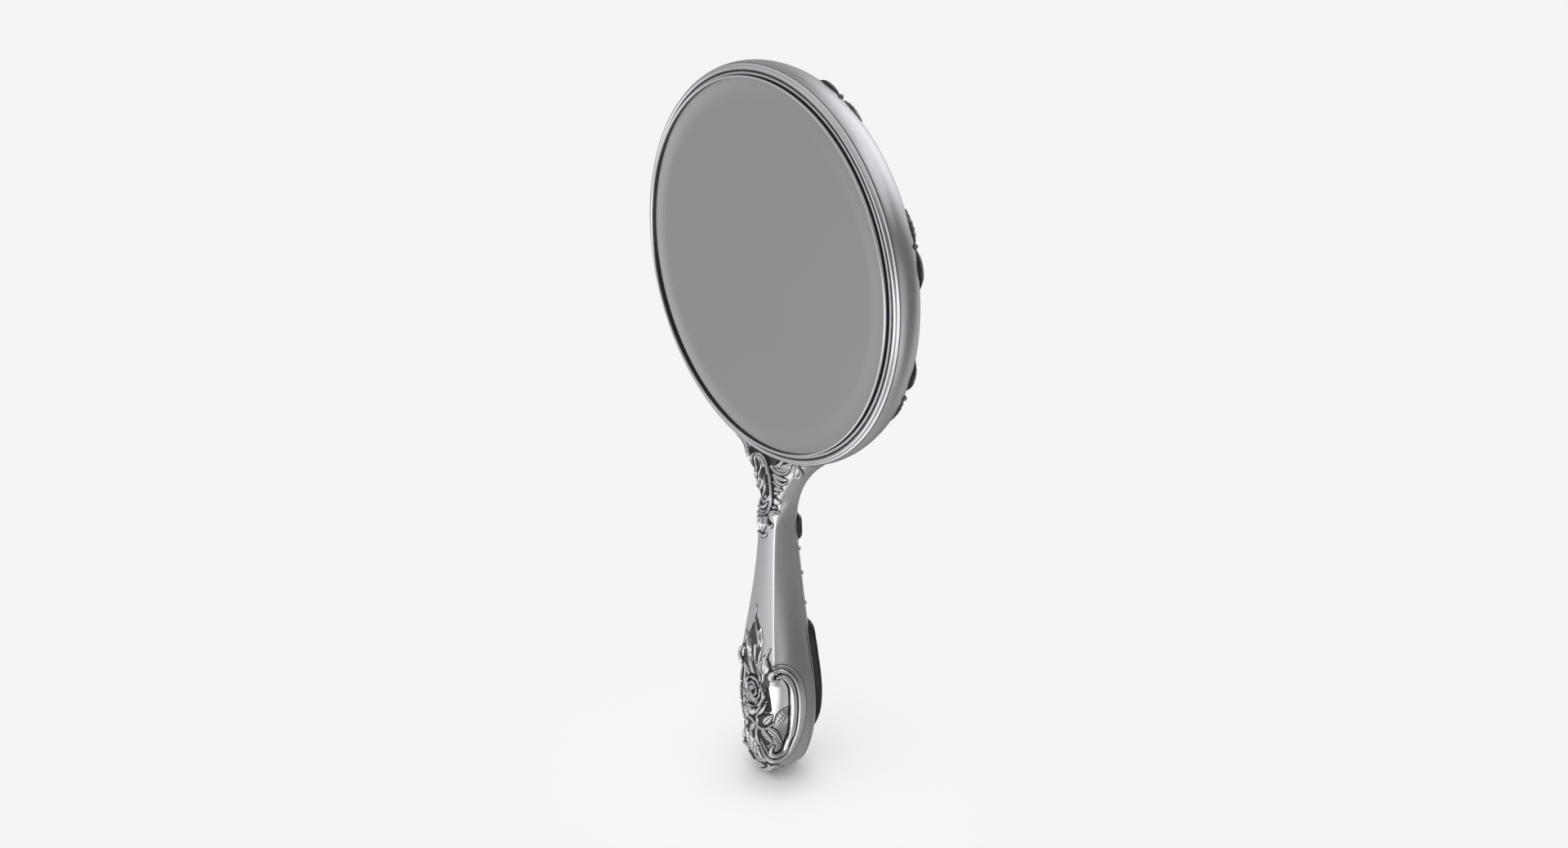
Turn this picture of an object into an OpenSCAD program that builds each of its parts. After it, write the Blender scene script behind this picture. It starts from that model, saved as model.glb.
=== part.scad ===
// Hand mirror with a round bevelled glass, a dished metal back and a hollow
// pressed handle that carries soldered scroll, leaf and rose mounts.
// Frame: +Z towards the crown of the head, -Y out of the glass, +X to the
// right of someone looking into it. The origin is the centre of the front
// face of the glass. Millimetres. "Depth" is y, which grows towards the back.

/* [Head] */
// Radius of the glass that shows inside the bezel
sight_r = 62.6; // [56:0.1:66]
// Thickness of the glass plate
glass_t = 3; // [2:0.5:5]
// Width of the ground bevel at the edge of the glass
bevel_w = 9; // [2:0.5:12]
// Depth that the bevel drops by
bevel_d = 0.62; // [0.2:0.02:1.2]
// Radius of the round bead next to the glass
inner_bead_r = 0.4; // [0.3:0.05:0.8]
// How far that bead stands out in front of the glass, to its centre
bead_out = 1.2; // [0.8:0.1:2]
// Radius of the outer bead of the rim
outer_bead_r = 0.7; // [0.5:0.05:0.9]
// Depth where the side wall turns into the back
rear_corner_y = 10.1; // [8:0.1:12]
// Depth of the crown of the domed back
back_y = 14; // [12:0.1:18]
// Rise of the back between its rim and its crown
back_rise = 2.6; // [0:0.1:6]
// Sheet thickness of the pressed shells
wall = 0.85; // [0.5:0.05:1.5]

/* [Handle] */
// Half width at the narrowest point of the neck
neck_hw = 4.7; // [3.5:0.1:8]
// Half width at the widest point of the grip
grip_hw = 10.6; // [8:0.1:16]
// Height of the narrowest point
neck_z = -95; // [-110:1:-85]
// Height of the widest point
wide_z = -160; // [-175:1:-145]
// Height of the lower tip
tip_z = -189.6; // [-205:0.1:-180]
// Depth of the rolled edge where the back pressing fits in
rear_step = 1.6; // [1:0.1:3]

/* [Inside] */
// Radius of the steel tang rod
rod_r = 2; // [1.5:0.1:2.4]
// Depth of the rod's axis
rod_y = 5.9; // [5:0.1:7]
// Thickness of the tang plate
plate_t = 1.5; // [1:0.1:2]
// Half width of the plate inside the head
plate_hw = 12; // [8:0.5:16]
// Thickness of the felt pad behind the glass
felt_t = 1.2; // [0.8:0.1:2]
// Thickness of the backing board
board_t = 1.5; // [1:0.1:2.5]

/* [Ornament] */
// Height of the front mounts above the handle
relief = 1.3; // [0.6:0.1:2.4]
// Height of the mounts on the back of the handle
back_relief = 2.6; // [1:0.1:3.4]
// Height of the border mounts on the back of the head
border_relief = 2; // [0.8:0.1:3]
// Radius of the plain medallion on the back
medallion_r = 23; // [16:0.5:30]
// Height of the medallion above the crown
medallion_h = 1.6; // [0.8:0.1:3]

/* [Hidden] */
$fn = 96;
gap = 0.04;  // between neighbouring pieces
seam = 0.06; // between neighbouring mounts, in their drawings

// Head radii
glass_r = sight_r + 0.65;
skirt_r = glass_r + 0.2;     // inside of the bezel's skirt
skirt_out = skirt_r + 0.95;
spigot_out = 66.05;          // part of the rim that enters the head shell
head_r = 67.5;               // side wall at its fullest
full_y = 4.6;                // depth of that fullest point
dome_rim_r = 64;             // where the back has fallen by back_rise
border_r = 64.4;             // outer limit of the mounts on the head

// Layers behind the glass, by the depth of their front faces
felt_y = glass_t + gap;
board_y = felt_y + felt_t + gap;
packing_y = board_y + board_t + gap;
plate_y = rod_y + rod_r + gap;
plate_rear_y = plate_y + plate_t;

// Tang and its fixings
rod_foot_z = -168;
rod_len = 99;
plate_top_z = -30;
plate_foot_z = -61;
strip_hw = 2.6;              // narrow lower part of the plate
strip_foot_z = -90;
strip_len = 30;
head_cut_z = -70;            // cuts through the head's lower edge start here
rivet_z = [-74, -84];
rivet_r = 1;
rivet_head_r = 1.7;
rivet_hole_r = 1.03;
screw_x = [-8, 8];
screw_z = [-38, -54];
screw_r = 1;
screw_head_r = 2.1;
screw_tip_y = 10.6;

// Handle outline and the bars that its sections are cut from
top_z = -58;                 // upper end, inside the head
end_z = -192;                // lower end of the side view
stations = 44;
flare_w = 21.5;              // widening of the neck over flare_len
flare_len = 33;
tip_power = 0.8;             // below 1 makes the tip fuller than an ellipse
front_clear_y = -12;
mid_y = 6;                   // splits front mounts from rear ones
rear_clear_y = 24;
clear_x = 40;
side_clear_x = 24;
overhang = 0.6;              // front mounts may pass the outline by this much

// Side view of the handle as [height, depth]: its front face and its back.
front_line = [[-58, 2.3], [-75, 1.5], [-95, 0.4], [-108, -0.4], [-120, -1.4],
    [-135, -2.9], [-150, -4.2], [-162, -4.7], [-175, -4.1], [-184, -2.8], [-192, -0.8]];
back_line = [[-58, 10.9], [-75, 11.2], [-95, 11.5], [-108, 12.5], [-120, 13.2],
    [-135, 14], [-150, 15.1], [-160, 15.6], [-170, 15.4], [-180, 14.4], [-192, 12.4]];

// ---- Curves ----
// Outer radius of the side wall at depth y; it falls off faster to the front.
function wall_r(y) = head_r - (y < full_y ? 0.054 : 0.042) * pow(y - full_y, 2);
// Depth of the domed back at a radius.
function dome_y(radius) = back_y - back_rise * pow(radius / dome_rim_r, 2);

// Points [radius, depth] on the side wall, from depth start in count steps,
// and on the dome, at multiples of pitch; order is the range of steps to walk.
function wall_line(order, count, start, shift = 0) =
    [for (i = order)
        let (y = start + (rear_corner_y - start) * i / count)
        [wall_r(y) + shift, y]];
function dome_line(order, pitch, shift = 0) =
    [for (i = order) [pitch * i, dome_y(pitch * i) + shift]];

// Smooth (Hermite) curve through a list of [height, value] with falling heights.
function span_at(line, z, i = 0) =
    (i >= len(line) - 2 || z >= line[i + 1][0]) ? i : span_at(line, z, i + 1);
function slope(line, i) =
    let (before = line[max(i - 1, 0)], after = line[min(i + 1, len(line) - 1)])
    (after[1] - before[1]) / (after[0] - before[0]);
function smooth(line, z) =
    let (i = span_at(line, z),
         start = line[i],
         end = line[i + 1],
         span = end[0] - start[0],
         part = max(0, min(1, (z - start[0]) / span)))
    start[1] * (1 + 2 * part) * pow(1 - part, 2)
    + slope(line, i) * span * part * pow(1 - part, 2)
    + end[1] * part * part * (3 - 2 * part)
    + slope(line, i + 1) * span * part * part * (part - 1);

// Half width of the handle at height z, down to its widest point.
function half_w(z) =
    z > neck_z
        ? neck_hw + flare_w * pow((z - neck_z) / flare_len, 2.5)
        : neck_hw + (grip_hw - neck_hw)
            * sin(90 * pow((neck_z - z) / (neck_z - wide_z), 1.75));

// ---- Solid helpers ----
// 2D drawings become bars along Y (drawn as x, z) or along X (drawn as y, z).
module along_y(y0 = front_clear_y, y1 = rear_clear_y)
    translate([0, y1, 0]) rotate([90, 0, 0]) linear_extrude(y1 - y0) children();
module along_x(x0, x1)
    translate([x0, 0, 0]) rotate([90, 0, 90]) linear_extrude(x1 - x0) children();
// A section drawn as (radius, depth) is turned about the Y axis.
module turned() rotate([-90, 0, 0]) rotate_extrude($fn = 180) children();
// Cylinder along Y.
module pin(x, z, radius, y0, y1)
    translate([x, y0, z]) rotate([-90, 0, 0]) cylinder(r = radius, h = y1 - y0);
// Box centred on x = 0.
module slab(half_width, y0, y1, z0, z1)
    translate([-half_width, y0, z0]) cube([2 * half_width, y1 - y0, z1 - z0]);
module both_sides() for (flip = [0, 1]) mirror([flip, 0, 0]) children();

// Front outline of the handle, moved inwards by inset.
module outline(inset) {
    side = [for (i = [0:30])
        let (z = top_z + (wide_z - top_z) * i / 30)
        [half_w(z) - inset, z]];
    // The lower end is walked by angle so that its round tip is even.
    tip = [for (a = [6:6:84])
        [(grip_hw - inset) * pow(cos(a), tip_power),
         wide_z - (wide_z - tip_z - inset) * pow(sin(a), tip_power)]];
    right = concat(side, tip);
    polygon(concat(right, [[0, tip_z + inset]],
        [for (i = [len(right) - 1:-1:0]) [-right[i][0], right[i][1]]]));
}

// Bar along X between two side-view lines, each shifted in depth.
module side_band(near_line, near_shift, far_line, far_shift) {
    heights = [for (i = [0:stations]) top_z - (top_z - end_z) * i / stations];
    along_x(-clear_x, clear_x) polygon(concat(
        [for (z = heights) [smooth(near_line, z) + near_shift, z]],
        [for (i = [stations:-1:0]) [smooth(far_line, heights[i]) + far_shift, heights[i]]]));
}

// Handle body, its outline inset and its front and back shifted in depth.
module handle_body(inset, front_shift, rear_shift) intersection() {
    along_y() outline(inset);
    side_band(front_line, front_shift, back_line, rear_shift);
}

// Solid of revolution that bounds the head, used to trim what meets it.
module head_body(grow) turned() polygon(concat(
    [[0, -2], [65.4 + grow, -2], [65.9 + grow, 0.1]],
    wall_line([0:10], 10, 0.9, grow),
    [[65.2 + grow, rear_corner_y + 0.8 + grow], [63.5, dome_y(63.5) + grow]],
    dome_line([7:-1:0], 8, grow)));

// ---- Layers that the cast mounts are cut from; each follows its surface ----
module side_layer(height) along_y() difference() {
    outline(-height);
    outline(-gap);
}

module dome_layer(height, inner_r) {
    steps = 12;
    radii = [for (i = [0:steps]) inner_r + (border_r - inner_r) * i / steps];
    turned() polygon(concat(
        [for (radius = radii) [radius, dome_y(radius) + gap]],
        [for (i = [steps:-1:0]) [radii[i], dome_y(radii[i]) + height]]));
}

// Each of these turns the drawing passed to it into a mount of that height.
module front_mount(height) difference() {
    intersection() {
        side_band(front_line, -height, front_line, -gap);
        along_y(front_clear_y, mid_y) intersection() {
            children();
            outline(-overhang);
        }
    }
    head_body(0.1);
}

module rear_mount(height) difference() {
    intersection() {
        side_band(back_line, gap, back_line, height);
        along_y(mid_y, rear_clear_y) intersection() {
            children();
            outline(wall + gap);
        }
    }
    head_body(0.1);
}

module dome_mount(height, inner_r) intersection() {
    dome_layer(height, inner_r);
    along_y(mid_y, rear_clear_y) children();
}

// The border motif is drawn at the crown and repeated around the head.
module border_motif(height)
    for (turn = [0, 94, -94]) rotate([0, turn, 0]) dome_mount(height, 28) children();

// ---- Drawing elements of the mounts ----
// Drawings take a growth, so that a neighbour can be cut clear of them.
// Rows: [x, z, angle, length, width], placed by the centre. Only width grows.
module leaves(rows, grow = 0) for (row = rows) {
    length = row[3];
    width = row[4] + 2 * grow;
    radius = (length * length + width * width) / (4 * width);
    translate([row[0], row[1]]) rotate(row[2]) intersection() {
        translate([0, radius - width / 2]) circle(radius);
        translate([0, width / 2 - radius]) circle(radius);
    }
}
// Rows: [x, z, angle, outer radius, greatest width, shift of the inner circle].
module crescents(rows, grow = 0) for (row = rows) {
    radius = row[3] + grow;
    width = row[4] + 2 * grow;
    shift = row[5];
    translate([row[0], row[1]]) rotate(row[2]) difference() {
        circle(radius);
        translate([-shift, 0]) circle(radius - width + shift);
    }
}
// Rows: [start, end, width].
module stems(rows, grow = 0) for (row = rows) {
    run = row[1] - row[0];
    width = row[2] + 2 * grow;
    translate(row[0]) rotate(atan2(run[1], run[0]))
        translate([0, -width / 2]) square([norm(run), width]);
}
module disc(place, radius) translate(place) circle(radius);

// ---- Head ----
module mirror_glass() color([0.59, 0.6, 0.58]) turned() polygon([
    [0, 0], [glass_r - bevel_w, 0], [glass_r, bevel_d], [glass_r, glass_t], [0, glass_t]]);

// Bead next to the glass, with a skirt that passes around its edge.
module glass_bezel() {
    inner_r = sight_r + 0.02;
    bead_back_r = sight_r + 2 * inner_bead_r - 0.02;
    face_y = 0.2;
    skirt_end_y = 5.2;
    color([0.8, 0.8, 0.82]) turned() union() {
        translate([sight_r + inner_bead_r, -bead_out]) circle(inner_bead_r, $fn = 48);
        polygon([[inner_r, -bead_out], [bead_back_r, -bead_out],
            [bead_back_r, 0.08], [sight_r + 1, face_y], [skirt_out, face_y],
            [skirt_out, skirt_end_y], [skirt_r, skirt_end_y], [skirt_r, bevel_d - 0.02],
            [inner_r, bevel_d - 0.08]]);
    }
}

module rim_moulding() {
    bead_place = [65.6, 0.7];
    shoulder_y = 1.66;
    spigot_end_y = 4;
    color([0.76, 0.76, 0.79]) turned() union() {
        polygon([[skirt_out + gap, 0.3], [65, 0.42], bead_place, [66.25, 1.1],
            [66.5, 1.24], [66.86, 1.3], [66.98, shoulder_y], [spigot_out, shoulder_y],
            [spigot_out, spigot_end_y], [skirt_out + gap, spigot_end_y]]);
        translate(bead_place) circle(outer_bead_r, $fn = 48);
    }
}

// Outer face from the front edge to the crown, then the inner face back.
module head_shell() {
    edge_y = 1.7;
    pitch = 8.6;
    color([0.66, 0.66, 0.7]) difference() {
        turned() polygon(concat(
            wall_line([0:12], 12, edge_y),
            [[65.85, rear_corner_y + 0.55], [65.2, rear_corner_y + 0.95],
             [64.4, dome_y(dome_rim_r)]],
            dome_line([7:-1:0], pitch),
            dome_line([0:7], pitch, -wall),
            [[63.9, dome_y(dome_rim_r) - wall], [64.9, rear_corner_y - 0.3]],
            wall_line([11:-1:0], 12, edge_y, -wall)));
        // The tang plate leaves the head through this slot.
        slab(3, plate_y - 0.1, plate_rear_y + 0.1, head_cut_z, top_z);
    }
}

module felt_pad() color([0.32, 0.12, 0.16]) pin(0, 0, glass_r, felt_y, felt_y + felt_t);

module backing_board() color([0.5, 0.4, 0.28]) pin(0, 0, glass_r, board_y, board_y + board_t);

module wood_packing() {
    outer_r = 64.7;
    color([0.62, 0.46, 0.28]) difference() {
        turned() polygon(concat(
            [[0, packing_y], [outer_r, packing_y], [outer_r, 8.8], [63.4, 9.9]],
            dome_line([7:-1:0], 8.6, -wall - 0.3)));
        // Recess that the tang plate is let into from the front.
        slab(plate_hw + 0.2, packing_y - 1, plate_rear_y + 0.1, head_cut_z, plate_top_z + 0.3);
        for (x = screw_x, z = screw_z) pin(x, z, screw_r + 0.04, 6, screw_tip_y + 0.1);
    }
}

// ---- Inside the handle ----
module tang_rod() color([0.45, 0.46, 0.48]) difference() {
    translate([0, rod_y, rod_foot_z]) cylinder(r = rod_r, h = rod_len, $fn = 48);
    for (z = rivet_z) pin(0, z, rivet_hole_r, 0, 12);
}

module tang_plate() color([0.5, 0.51, 0.53]) difference() {
    union() {
        slab(plate_hw, plate_y, plate_rear_y, plate_foot_z, plate_top_z);
        slab(strip_hw, plate_y, plate_rear_y, strip_foot_z, strip_foot_z + strip_len);
    }
    for (x = screw_x, z = screw_z) pin(x, z, screw_r + 0.1, 0, 20);
    for (z = rivet_z) pin(0, z, rivet_hole_r, 0, 20);
}

module tang_rivets() color([0.72, 0.6, 0.34]) for (z = rivet_z) {
    pin(0, z, rivet_r, rod_y - rod_r - 0.3, plate_rear_y + 0.3);
    pin(0, z, rivet_head_r, plate_rear_y + gap, plate_rear_y + 0.6);
}

module tang_screws() color([0.7, 0.6, 0.36]) for (x = screw_x, z = screw_z) {
    pin(x, z, screw_r, plate_y - 0.5, screw_tip_y);
    pin(x, z, screw_head_r, plate_y - 1, plate_y - gap);
}

// Filling of the shells, bored for the rod and cut for the strip and rivets.
module handle_core() {
    cut_rear_y = 11;
    color([0.16, 0.13, 0.12]) difference() {
        handle_body(2 * wall + 0.1, wall + 0.1, -wall - 0.1);
        head_body(0.3);
        translate([0, rod_y, rod_foot_z - 0.2]) cylinder(r = rod_r + 0.03, h = 120, $fn = 48);
        slab(strip_hw + 0.1, plate_y - 0.03, plate_rear_y + 0.03, strip_foot_z - 0.1, -50.1);
        for (z = rivet_z) {
            pin(0, z, rivet_r + 0.05, rod_y - rod_r - 0.4, cut_rear_y);
            pin(0, z, rivet_head_r + 0.1, plate_rear_y, cut_rear_y);
        }
    }
}

// ---- Handle shells ----
module handle_front_shell() color([0.7, 0.7, 0.73]) difference() {
    handle_body(0, 0, -rear_step);
    handle_body(wall, wall, 1);
    head_body(0.05);
}

module handle_back_shell() {
    skirt_depth = 4.6;
    color([0.62, 0.62, 0.66]) difference() {
        intersection() {
            handle_body(wall + gap, 0, 0);
            side_band(back_line, -skirt_depth, back_line, 0);
        }
        handle_body(2 * wall + gap, -1, -wall);
        head_body(0.05);
    }
}

// ---- Front mounts of the handle ----
spray = [2.6, 1.4]; // shift of the rose and the leaves around it, in x and z

module neck_scroll_2d(grow = 0) {
    crescents([
        [-8.2, -78.6, 0, 11, 3.4, 2.6],
        [-5.3, -71.4, 100, 3.9, 1.9, 1.1],
        [-3.4, -86.6, -80, 3.4, 1.7, 1],
        [-8.8, -78.5, -15, 5, 1.9, 1.2]], grow);
    leaves([[-1.4, -78, 84, 12 + 2 * grow, 2.2]], grow);
}
module neck_leaves_2d(grow = 0) leaves([
    [8.4, -68.8, 24, 11.5, 4.4], [8.4, -73.4, 12, 8.6, 2.6],
    [7.4, -76.8, 6, 6, 2], [5.8, -81.4, 4, 4.6, 2.4],
    [5.2, -84, 0, 3.8, 1.7], [5.4, -86.5, 12, 7, 1.9],
    [17.4, -66.2, 105, 7.6, 3.4], [-13.8, -68.8, -25, 7, 3.2],
    [-10.2, -67, -70, 4.6, 2.8], [-11, -73, -62, 7.4, 2.4]], grow);
module rose_2d(grow = 0) translate(spray) {
    disc([-3.7, -158.4], 5.7 + grow);
    leaves([
        [1.6, -157.6, 84, 9, 2.4],
        [-4.8, -165.8, 8, 7.4, 5],
        [2.2, -164, 52, 10.4, 3.4]], grow);
}
module foliage_2d(grow = 0) translate(spray) {
    leaves([
        [6, -166.2, 42, 7, 3.2],
        [7.4, -170.2, 12, 7, 3.4],
        [5, -173.4, -14, 6, 3]], grow);
    stems([
        [[-8.6, -170.6], [0, -171], 0.9],
        [[-1.2, -168.6], [-0.9, -172], 0.9]], grow);
    crescents([[1.8, -174.6, 180, 3.4, 0.9, 0.6]], grow);
}

module neck_scroll_front() color([0.78, 0.78, 0.8]) front_mount(relief + 0.3) neck_scroll_2d();

module neck_leaves_front() color([0.76, 0.76, 0.79]) front_mount(relief) difference() {
    neck_leaves_2d();
    neck_scroll_2d(seam);
}

module neck_husks_front() color([0.74, 0.74, 0.77]) front_mount(relief - 0.3) difference() {
    leaves([
        [-2.1, -92.6, 84, 7, 2.5], [1.7, -91.6, 96, 4.6, 2.6],
        [-3.1, -97, -24, 2.6, 1], [-1, -96.9, 30, 2.8, 1]]);
    neck_scroll_2d(seam);
    neck_leaves_2d(seam);
}

module grip_buds_front() color([0.76, 0.76, 0.79]) front_mount(relief) difference() {
    union() {
        leaves([[-1.2, -130.6, 92, 18, 2.4], [1.4, -134.4, 78, 8.4, 1.9]]);
        translate(spray) {
            leaves([
                [3.1, -145.4, 80, 8.6, 4.4], [4.8, -140.6, 62, 8, 1.5],
                [-7.2, -141, 78, 8, 3], [-5.4, -148.6, 66, 6.5, 3]]);
            stems([
                [[-3.4, -139.4], [-1.6, -146], 0.8],
                [[-1.6, -146], [0.2, -151], 0.8],
                [[2.4, -149], [1.4, -153], 0.8]]);
        }
    }
    rose_2d(seam);
}

// The rose rises in three tiers.
module rose_front() color([0.8, 0.8, 0.82]) union() {
    front_mount(relief) rose_2d();
    front_mount(relief + 0.7) disc([-3.9, -157.6] + spray, 4);
    front_mount(relief + 1.2) disc([-4, -157.2] + spray, 1.9);
}

module rose_foliage() color([0.74, 0.74, 0.77]) {
    front_mount(relief - 0.2) difference() {
        foliage_2d();
        rose_2d(seam);
    }
    // Leaves on the two side faces, drawn as (y, z).
    both_sides() intersection() {
        side_layer(relief - 0.3);
        along_x(0, side_clear_x)
            leaves([[0.6, -164.6, 50, 7.6, 4.2], [-1.8, -170.8, -42, 6.6, 2.4]]);
    }
}

module tip_bud() color([0.77, 0.77, 0.8]) front_mount(relief) difference() {
    translate(spray / 2) leaves([
        [-6, -178.2, 82, 7, 2], [-3.9, -179.2, 84, 7.4, 2.4],
        [-0.6, -181.6, 70, 6, 2.6], [3, -182, 40, 6.4, 2.8],
        [4.6, -178.8, 62, 5.4, 2.2]]);
    foliage_2d(seam);
}

// ---- Scrolls on the side faces ----
scroll_y = -3.4;      // centre of the C, near the front edge of the handle
scroll_z = -163.4;
scroll_hook = 2.4;    // reach of its ends forward of that centre
scroll_open_y = -9;   // the C is cut open towards this depth
// [height, outer reach and half height, inner reach and half height]
scroll_tiers = [
    [0.8, 15.4, 19.6, 8.4, 14.2],
    [1.9, 10.4, 16.2, 8.4, 14.2],
    [1.5, 13.4, 18.2, 11.8, 17]];

// Points [depth, height] along a C.
function c_curve(reach, half_height) = [for (a = [-88:4:88])
    [scroll_y + (cos(a) > 0 ? reach : scroll_hook) * cos(a), scroll_z + half_height * sin(a)]];
module c_ring(reach, half_height, inner_reach, inner_half) difference() {
    polygon(c_curve(reach, half_height));
    polygon(concat(
        [[scroll_open_y, scroll_z - inner_half]],
        c_curve(inner_reach, inner_half),
        [[scroll_open_y, scroll_z + inner_half]]));
}
module side_scroll() union() for (tier = scroll_tiers) intersection() {
    side_layer(tier[0]);
    along_x(0, side_clear_x) c_ring(tier[1], tier[2], tier[3], tier[4]);
}
module side_scroll_right() color([0.7, 0.7, 0.73]) side_scroll();
module side_scroll_left() color([0.7, 0.7, 0.73]) mirror([1, 0, 0]) side_scroll();

// ---- Mounts on the back of the handle ----
module handle_scrolls_2d(grow = 0) both_sides() {
    intersection() {
        crescents([[-19, -153, 0, 28.5, 3.6, 3]], grow);
        // Keeps the two scrolls off the centre line.
        translate([1 - grow, -200]) square([30, 100]);
    }
    crescents([[2.8, -179.2, -40, 4.6, 1.8, 1.2]], grow);
}
module handle_back_scrolls() color([0.6, 0.6, 0.64]) rear_mount(back_relief) handle_scrolls_2d();

back_rose_place = [0, -152];
module handle_rose_2d() {
    disc(back_rose_place, 5);
    for (side = [-1, 1]) leaves([
        [3 * side, -160.4, 90 - 50 * side, 7, 3],
        [3 * side, -144.6, 90 + 42 * side, 6.4, 2.6],
        [2.2 * side, -167.4, 90 - 30 * side, 7, 2.6]]);
    leaves([[0, -176, 90, 8, 3]]);
}
module handle_back_rose() color([0.64, 0.64, 0.68]) union() {
    rear_mount(back_relief - 1) difference() {
        handle_rose_2d();
        handle_scrolls_2d(seam);
    }
    rear_mount(back_relief) disc(back_rose_place, 3.4);
}

module handle_back_vine() color([0.62, 0.62, 0.66]) {
    rear_mount(1.2) {
        stems([[[0, -133], [0, -108], 0.9]]);
        for (z = [-110:-7:-131]) leaves([[2.2, z, 52, 6, 2.2], [-2.2, z - 3.4, 128, 6, 2.2]]);
    }
    // A long crescent on each side of the neck.
    both_sides() rear_mount(1.9) intersection() {
        crescents([[-8.2, -98, 0, 11.9, 1.9, 1.6]]);
        translate([0.6, -120]) square([20, 40]);
    }
}

// Leaves on the neck, and two pairs above them on the back of the head.
module neck_acanthus_back() color([0.64, 0.64, 0.68]) {
    rear_mount(1.9) {
        leaves([[0, -77, 90, 19, 5]]);
        for (side = [-1, 1]) leaves([
            [4 * side, -75.6, 90 - 24 * side, 13, 3.6],
            [9 * side, -71.6, 90 - 50 * side, 11, 3.6]]);
    }
    both_sides() dome_mount(border_relief, 40)
        leaves([[17, -58.6, 32, 15, 5], [8.6, -56, 66, 12, 4.6]]);
}

// ---- Mounts on the back of the head ----
// One motif: two C scrolls that face each other, a rose between them and
// leaves at both ends.
border_rose_place = [0, 43.5];
module border_scrolls_2d(grow = 0)
    both_sides() crescents([[14.5, 52.4, 74.5, 10.2, 3.6, 2.8]], grow);
module border_rose_2d(grow = 0) disc(border_rose_place, 6 + grow);

module head_back_scrolls() color([0.6, 0.6, 0.64]) border_motif(border_relief) border_scrolls_2d();

module head_back_leaves() color([0.62, 0.62, 0.66]) border_motif(border_relief - 0.4) difference() {
    both_sides() leaves([
        [31.4, 54, -8, 10, 4.2], [31.2, 48.4, -22, 10, 3.8],
        [28.4, 43.4, -44, 9, 3.4], [14.8, 51.6, -20, 7, 3],
        [10.4, 38.6, -32, 9, 3.4], [6, 34.6, -60, 7, 3]]);
    border_scrolls_2d(seam);
    border_rose_2d(seam);
}

module head_back_roses() color([0.66, 0.66, 0.7]) union() {
    border_motif(border_relief - 0.2) difference() {
        border_rose_2d();
        border_scrolls_2d(seam);
    }
    border_motif(border_relief + 0.4) disc(border_rose_place, 3.7);
}

// Flat disc with a chamfered edge, hollowed underneath to sit on the dome.
module back_medallion() {
    seat_y = dome_y(medallion_r) - 0.1 + gap;
    top_y = back_y + medallion_h;
    cut_y = 8;
    color([0.7, 0.7, 0.74]) difference() {
        turned() polygon([[0, seat_y], [medallion_r, seat_y],
            [medallion_r, top_y - 0.5], [medallion_r - 0.8, top_y], [0, top_y]]);
        turned() polygon(concat([[0, cut_y]], dome_line([0:8], 3.1, gap), [[24.9, cut_y]]));
    }
}

mirror_glass();
glass_bezel();
rim_moulding();
head_shell();
felt_pad();
backing_board();
wood_packing();
tang_rod();
tang_plate();
tang_rivets();
tang_screws();
handle_core();
handle_front_shell();
handle_back_shell();
neck_scroll_front();
neck_leaves_front();
neck_husks_front();
grip_buds_front();
rose_front();
rose_foliage();
tip_bud();
side_scroll_right();
side_scroll_left();
handle_back_scrolls();
handle_back_rose();
handle_back_vine();
neck_acanthus_back();
head_back_scrolls();
head_back_leaves();
head_back_roses();
back_medallion();
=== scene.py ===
"""A silver hand mirror with relief ornament, standing upright on the tip of its handle.

The glass faces -Y with its front face at Y = 0 and its centre at the origin. The handle runs
down -Z and +X is to the right. Sizes are in millimetres until a mesh is made.
"""
import math
from functools import partial
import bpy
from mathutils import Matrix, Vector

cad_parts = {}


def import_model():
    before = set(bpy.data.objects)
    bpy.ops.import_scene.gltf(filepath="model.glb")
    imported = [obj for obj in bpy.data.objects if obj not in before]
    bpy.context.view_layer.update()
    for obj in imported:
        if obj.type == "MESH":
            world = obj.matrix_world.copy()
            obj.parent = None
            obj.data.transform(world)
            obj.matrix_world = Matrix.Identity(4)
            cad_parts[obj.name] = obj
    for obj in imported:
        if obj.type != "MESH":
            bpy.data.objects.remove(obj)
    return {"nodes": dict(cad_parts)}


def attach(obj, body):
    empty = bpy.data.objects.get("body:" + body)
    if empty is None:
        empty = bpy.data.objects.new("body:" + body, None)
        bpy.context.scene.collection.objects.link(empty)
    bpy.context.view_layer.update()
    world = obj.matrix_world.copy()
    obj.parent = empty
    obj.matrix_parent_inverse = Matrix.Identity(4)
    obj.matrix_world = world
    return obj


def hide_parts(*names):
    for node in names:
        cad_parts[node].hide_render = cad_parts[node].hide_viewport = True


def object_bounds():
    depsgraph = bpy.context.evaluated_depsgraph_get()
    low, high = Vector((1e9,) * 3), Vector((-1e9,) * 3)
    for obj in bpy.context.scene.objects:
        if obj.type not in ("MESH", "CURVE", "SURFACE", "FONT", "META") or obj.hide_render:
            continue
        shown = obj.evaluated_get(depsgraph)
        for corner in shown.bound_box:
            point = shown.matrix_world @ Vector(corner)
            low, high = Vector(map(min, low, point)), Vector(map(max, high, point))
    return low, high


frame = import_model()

from types import SimpleNamespace

import bpy
import mathutils
import numpy as np

CAD_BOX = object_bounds()
MM = 0.001
COARSE = 1.0  # factor on the cell size of the relief

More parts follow.
